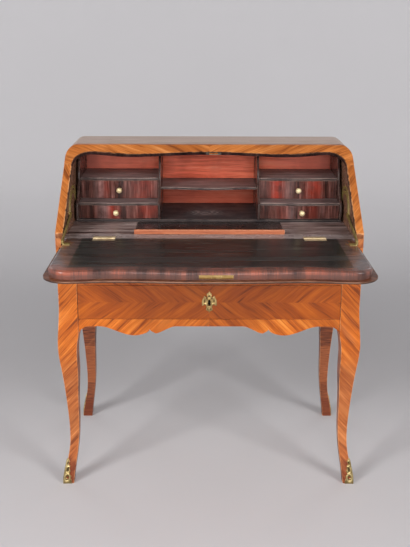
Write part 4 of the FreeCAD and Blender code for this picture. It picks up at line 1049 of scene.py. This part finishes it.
# Opening: dark rim of painted shade, paler foot of its edge, depth of the line of painted highlight.
# Flap: painted shadow on its lip, and darker at its ends
DARK_RIM = 0.0015
RIM_SOFT = 0.0006
PALE_FOOT = (hinge_z + 0.03, hinge_z + 0.04)
LINE_DEPTH = (frame_back + 0.0034, frame_back + 0.0026)
LIP_SHADOW = (face_low.z + 0.003, face_low.z + 0.0018)
FLAP_ENDS = (face_high.x * 0.84, face_high.x * 0.95)


def reveal(p):
    """Faces of the frame that look to the desk's middle."""
    return p.spread(p.times(p.math("SIGN", p.x), p.nx), -0.3, -0.42)


def frame_shade(p):
    """Painted shade on the frame's inner edge: its reveals, the faces that look downhill, paler near the foot,
    and a narrow rim beside the opening.
    """
    downhill = p.add(p.times(p.ny, -up_slope[1]), p.times(p.nz, -up_slope[2]))
    below = p.spread(downhill, 0.3, 0.42)
    past = past_edge(p, p.along(up_slope), opening_top, opening_radius)
    uneven = p.times(p.add(p.noise(p.place, 60), -0.5), 0.004)
    rim = p.spread(p.add(past, uneven), DARK_RIM + RIM_SOFT, DARK_RIM - RIM_SOFT)
    foot = p.spread(p.z, *PALE_FOOT, 0.55, 1.0)
    return p.math("MAXIMUM", p.math("MAXIMUM", p.times(below, foot), reveal(p)), rim)


def frame_highlight(p):
    """A narrow painted highlight on the inner arris of the frame's reveal."""
    return p.times(reveal(p), p.spread(p.along(tuple(slope_normal)), *LINE_DEPTH), 0.7)


def lip_inside(p):
    """The lip's face that meets the case."""
    return p.spread(p.nz, 0.5, 0.7, 0, 0.8)


def lip_rim(p):
    """The lip's edge all round."""
    return p.spread(p.fold(p.nz), 0.8, 0.6)


def lip_shadow_and_ends(p):
    """Painted shadow along the outer half of the lip's edge, and darker round the flap's ends."""
    outer = p.spread(p.z, *LIP_SHADOW, 0, 0.85)
    ends = p.spread(p.fold(p.x), *FLAP_ENDS, 0, 0.6)
    return p.times(p.math("MAXIMUM", outer, ends), lip_rim(p))


def mirror_at(height):
    """A point in the middle of the case, where a veneer's stripes are mirrored."""
    return (0, case_mid, height)


# Finishes of the outside, with the heights of the red feet and of the stripes' middles
FOOT_TOP = 0.08
WELL_STRIPES = 0.662
SIDE_STRIPES = 0.69
STILE_STRIPES = 0.75
RAIL_STRIPES = 0.9
post_finish = veneer("veneer_posts", LEG_TONES, 132, mirror_at(0), upper_tones=STILE_TONES, inner_bands=True,
                     foot=FOOT_TOP, calm=1.15)
apron_finish = veneer("veneer_apron", STILE_TONES, 134, mirror_at(0), calm=1.25)
drawer_finish = veneer("veneer_drawer", DRAWER_TONES, 38, mirror_at(drawer_mid), fold_up=True,
                       calm=1.7, flow=0.03)
well_finish = veneer("veneer_well_front", DRAWER_TONES, 42, mirror_at(WELL_STRIPES), calm=1.6)
side_finish = veneer("veneer_sides", LEG_TONES, 52, mirror_at(SIDE_STRIPES), fold_up=True)
# Frames: dark reveals and rim are painted shade, and the stiles' pale line is a painted highlight
stile_finish = veneer("veneer_stiles", SLOPE_TONES, 58, mirror_at(STILE_STRIPES), up_slope, dark=frame_shade,
                      rim=frame_highlight, calm=1.2, flow=0.025)
rail_finish = veneer("veneer_top_rail", SLOPE_TONES, 28, mirror_at(RAIL_STRIPES), up_slope, dark=frame_shade,
                     calm=1.2, flow=0.025)
# Flap: the lip's pale rim is a painted highlight, and its outer edge carries painted shadow
flap_finish = veneer("veneer_flap", STILE_TONES, 45, (0, face_mid, 0), (0, 1, 0), fold_up=True,
                     dark=lip_inside, rim=lip_rim, wear=0.3, painted_dark=lip_shadow_and_ends)
# Top: pale tones of painted reflection
top_finish = dark_wood("polished_top", TOP_TONES, front_wear=0.05, edge_wear_glint=0.3, rough=(0.42, 0.52),
                       stretch=0.012, coat=0)
oak_across = oak("oak_across", "x")
oak_deep = oak("oak_deep", "y")

# Finishes of the inside, with a knot in the bay's floor
BAY_KNOT = ((-0.01, 0.215), 0.06)
lid_finish = dark_wood("dark_inside", LID_TONES)
lining_finish = dark_wood("dark_linings", LINING_TONES)
board_finish = dark_wood("worn_boards", BOARD_TONES, front_wear=0.5, edge_wear_glint=0.5, rough=(0.3, 0.45),
                         stretch=0.03, calm=1.15)
# Bay floor: its pale front arris is partly painted highlight
bay_floor = dark_wood("dark_bay_floor", BAY_TONES, front_wear=0.0, edge_wear_glint=0.45, rough=(0.4, 0.55),
                      stretch=0.02, front_dark=0.5, knot=BAY_KNOT)
wall_finish = dark_wood("dark_walls", WALL_TONES, front_wear=0.05, edge_wear_glint=0.3, front_dark=0.75)
# Shelves: their pale arrises are wear and painted highlight
shelf_finish = dark_wood("dark_shelves", SHELF_TONES, front_wear=0.05, edge_wear_glint=1.0, rough=(0.4, 0.55),
                         stretch=0.02, front_dark=0.8)
hinge_rail_finish = dark_wood("worn_rail", RAIL_TONES, edge_wear_glint=0.45)
core_finish = flap_wood("flap_inside", CORE_TONES)
clamp_finish = flap_wood("flap_clamps", CLAMP_TONES)
red_finish = red_board("red_back")
batten_finish = batten_wood("orange_batten")

# Finishes of the mounts; the lock's plate is painted brown as shade below a level
LOCK_SHADE_LEVEL = 0.7215
gold = gilt("gilt_mounts", srgb(194, 166, 112), srgb(132, 106, 64), speckled=0.45)
shoe_gold = gilt("gilt_shoes", srgb(226, 204, 146), srgb(150, 126, 74), speckled=0.4)
pale_gold = gilt("gilt_knobs", srgb(240, 220, 176), srgb(214, 190, 142), (0.42, 0.55), 0.15, 0.4)
plate_brass = gilt("plate_brass", srgb(224, 202, 164), srgb(190, 164, 122), (0.4, 0.55), 0.1, 0.6)
lock_brass = gilt("lock_brass", srgb(180, 150, 96), srgb(144, 116, 68), shaded_below=LOCK_SHADE_LEVEL)
strike_brass = gilt("strike_brass", srgb(138, 138, 130), srgb(98, 95, 88), (0.4, 0.55), metal=0.6)
lock_iron = gilt("lock_iron", srgb(44, 40, 38), srgb(24, 22, 21), (0.45, 0.6))
old_brass = gilt("old_brass", srgb(158, 136, 74), srgb(118, 96, 50), (0.4, 0.6), metal=0.35)


def beside_opening(edge):
    """Edges of the frame that look into the opening and lie in its outer face."""
    side = math.copysign(1, edge.verts[0].co.x + edge.verts[1].co.x)
    normals = [face.normal for face in edge.link_faces]
    near = all(abs(vert.co.x) < clamp_high.x + 2 * FLAP_GAP or vert.co.z > core_high.z for vert in edge.verts)
    inward = any(normal.dot(Vector(up_slope)) < -0.3 or normal.x * side < -0.3 for normal in normals)
    return near and inward and any(normal.dot(slope_normal) > 0.9 for normal in normals)


def off_joint(edge):
    """Edges that aren't on the joint between the flap's core and a clamped end."""
    return not all(abs(abs(vert.co.x) - flap_ends) < FLAP_GAP / 10 for vert in edge.verts)


# Case
dress(post_finish, SOFT, "leg_front_left", "leg_front_right", "leg_rear_left", "leg_rear_right")
dress(side_finish, PLAIN, "side_left", "side_right")
dress(apron_finish, PLAIN, "front_apron")
dress(well_finish, SAWN, "well_front")
dress(top_finish, SOFT, "top")
dress(oak_across, SAWN, "back_lower", "back_upper", "dust_board")
dress(oak_deep, SAWN, "drawer_runners", "well_walls", "main_drawer_box")
dress(stile_finish, PLAIN, "slope_stiles", bold=beside_opening)
dress(rail_finish, PLAIN, "slope_top_rail", bold=beside_opening)

# Interior
dress(lining_finish, SOFT, "lining_left", "lining_right")
dress(board_finish, SOFT, "floor_boards")
dress(lid_finish, SOFT, "well_lid")
dress(bay_floor, SOFT, "nest_base")
dress(wall_finish, WORN, "nest_dividers", "nest_walls")
dress(shelf_finish, EASED, "shelf_middle", "shelves_lower", "shelves_upper")
dress(hinge_rail_finish, SOFT, "hinge_rail")
dress(red_finish, SAWN, "nest_back")
dress(batten_finish, WORN, "well_lid_batten", steps=3)

# Flap
dress(core_finish, THIN, "flap_core", within=flap_envelope, among=off_joint)
dress(clamp_finish, THIN, "flap_clamp_left", "flap_clamp_right", within=flap_envelope, among=off_joint)
dress(lock_brass, METAL, "flap_lock", within=partial(flap_envelope, rounded=False))
lock_slip("flap_edge_slip", core_finish)
dress(flap_finish, SOFT, "flap_face")

# Drawers: redder stretches, and paler stretches of painted highlight, of each small front, as (place,
# half width, share)
FLAMES = {"drawer_upper_left": ((-0.31, 0.015, 0.3), (-0.19, 0.04, 0.3)),
          "drawer_upper_right": ((0.199, 0.018, 0.75), (0.312, 0.026, 0.55)),
          "drawer_lower_left": ((-0.278, 0.014, 0.55), (-0.18, 0.04, 0.35)),
          "drawer_lower_right": ((0.215, 0.012, 0.2), (0.3, 0.02, 0.2))}
PAINTED_SHEENS = {"drawer_upper_left": ((-0.318, 0.004, 0.35), (-0.33, 0.003, 0.25)),
          "drawer_upper_right": ((0.238, 0.006, 0.18),),
          "drawer_lower_left": ((-0.312, 0.007, 0.35), (-0.3, 0.004, 0.25)),
          "drawer_lower_right": ((0.24, 0.004, 0.2), (0.33, 0.006, 0.15))}
dress(drawer_finish, EASED, "main_drawer_front")
for node, flames in FLAMES.items():
    dress(drawer_veneer(node + "_veneer", flames, PAINTED_SHEENS[node]), PLAIN, node)
    turn_knob(node + "_knob", pale_gold)

# Mounts
sculpt_sabots("sabots_front", shoe_gold)
sculpt_sabots("sabots_rear", shoe_gold)
sculpt_plate("main_drawer_escutcheon", gold, 1)
sculpt_plate("flap_escutcheon", gold, 2)
dress(plate_brass, METAL, "hinge_case_leaves", "hinge_flap_leaves")
dress(strike_brass, METAL, "strike_plate")
dress(gold, METAL, "main_drawer_bolt")
dress(lock_iron, METAL, "main_drawer_lock")
dress(lock_brass, METAL, "flap_bolt")
dress(old_brass, BAR, "stay_left", "stay_right", "stay_lugs", "stay_tracks")

# Screws: distances from the ends, the axis or the foot of what they hold, and radius of the smaller ones
UPWARD = (0, 0, 1)
FORWARD = (0, -1, 0)
LEAF_END = 0.01
LEAF_PITCH = 0.02
LEAF_REACH = 0.014
LUG_END = 0.016
LUG_REACH = 0.005
LUG_METAL = 0.002
SELVEDGE_END = 0.006
SELVEDGE_RISE = 0.007
SMALL_SCREW = 0.002
leaf_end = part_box("hinge_case_leaves")[1].x
leaf_places = [side * (leaf_end - LEAF_END - LEAF_PITCH * count) for side in (-1, 1) for count in range(3)]
for name, node, reach in (("hinge_screws_case", "hinge_case_leaves", LEAF_REACH),
                          ("hinge_screws_flap", "hinge_flap_leaves", -LEAF_REACH)):
    screws(name, node, [(x, hinge_y + reach, core_high.z) for x in leaf_places], UPWARD, plate_brass)
lug_low, lug_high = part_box("stay_lugs")
lug_y = (lug_low.y + lug_high.y) / 2
lug_places = [(side * (lug_high.x - LUG_END), lug_y + reach, core_high.z + LUG_METAL)
              for side in (-1, 1) for reach in (-LUG_REACH, LUG_REACH)]
screws("lug_screws", "stay_lugs", lug_places, UPWARD, old_brass, SMALL_SCREW)
lock_low, lock_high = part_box("flap_lock")
lock_places = [(x, lock_low.y, lock_low.z + SELVEDGE_RISE)
               for x in (lock_low.x + SELVEDGE_END, lock_high.x - SELVEDGE_END)]
screws("lock_screws", "flap_lock", lock_places, FORWARD, lock_brass, SMALL_SCREW)
plate_pins("drawer_plate_pins", "main_drawer_escutcheon", 1, lock_iron)
plate_pins("flap_plate_pins", "flap_escutcheon", 2, lock_iron)

# Studio: radius of the floor, radius of the cove, height of the wall, and steps of the curves
FLOOR_REACH = 3.9
COVE = 1.5
WALL_TOP = 6.0
WALL_TURNS = 96
COVE_STEPS = 12

# Lamps: place, point that they are turned to, size and power
LAMPS = {"lamp_left": ((-2.3, -2.5, 2.3), (0, 0, 0.55), 1.2, 82),
         "lamp_right": ((2.3, -2.5, 2.3), (0, 0, 0.55), 1.2, 65),
         "lamp_front": ((0, -3.2, 1.2), (0, 0, 0.7), 1.4, 40),
         "lamp_back_left": ((-2.4, 2.8, 2.6), (0, 0, 0.6), 1.4, 12),
         "lamp_back_right": ((2.4, 2.8, 2.6), (0, 0, 0.6), 1.4, 12)}
SKY_COLOUR = srgb(235, 236, 240)
SKY_LIGHT = 0.09


def backdrop(finish):
    """A round seamless sheet: floor, cove and wall, so that every view stays in the studio."""
    outline = [(FLOOR_REACH, 0.0)]
    for step in range(1, COVE_STEPS + 1):
        turn = math.pi / 2 * step / COVE_STEPS
        outline.append((FLOOR_REACH + COVE * math.sin(turn), COVE * (1 - math.cos(turn))))
    outline.append((FLOOR_REACH + COVE, WALL_TOP))
    spokes = [2 * math.pi * step / WALL_TURNS for step in range(WALL_TURNS)]
    shape = bmesh.new()
    rings = [[shape.verts.new((out * math.cos(a), out * math.sin(a), z)) for a in spokes]
             for out, z in outline]
    shape.faces.new(rings[0])
    skin(shape, rings[::-1])
    put_shape("backdrop", shape, finish)


def lamp(name, place, aim, size, power):
    """A soft square lamp turned to a point."""
    light = bpy.data.lights.new(name, "AREA")
    light.shape = "SQUARE"
    light.size = size
    light.energy = power
    made = put(name, light)
    made.location = place
    made.rotation_euler = (Vector(aim) - Vector(place)).to_track_quat("-Z", "Y").to_euler()
    made.visible_camera = False


backdrop(floor_paper("paper", srgb(209, 207, 209)))
for name, settings in LAMPS.items():
    lamp(name, *settings)
world = bpy.data.worlds.new("studio")
world.use_nodes = True
sky = world.node_tree.nodes["Background"].inputs
sky["Color"].default_value = SKY_COLOUR
sky["Strength"].default_value = SKY_LIGHT
bpy.context.scene.world = world

camera_data = bpy.data.cameras.new("camera")
camera_data.lens = LENS_MM
camera = put("camera", camera_data)
turn = Matrix.Rotation(-PAN, 4, "Z") @ Matrix.Rotation(math.pi / 2 - TILT, 4, "X")
camera.matrix_world = Matrix.Translation(EYE) @ (turn @ Matrix.Rotation(ROLL, 4, "Z"))
bpy.context.scene.camera = camera
bpy.context.scene.view_settings.view_transform = "Standard"

bpy.context.view_layer.update()
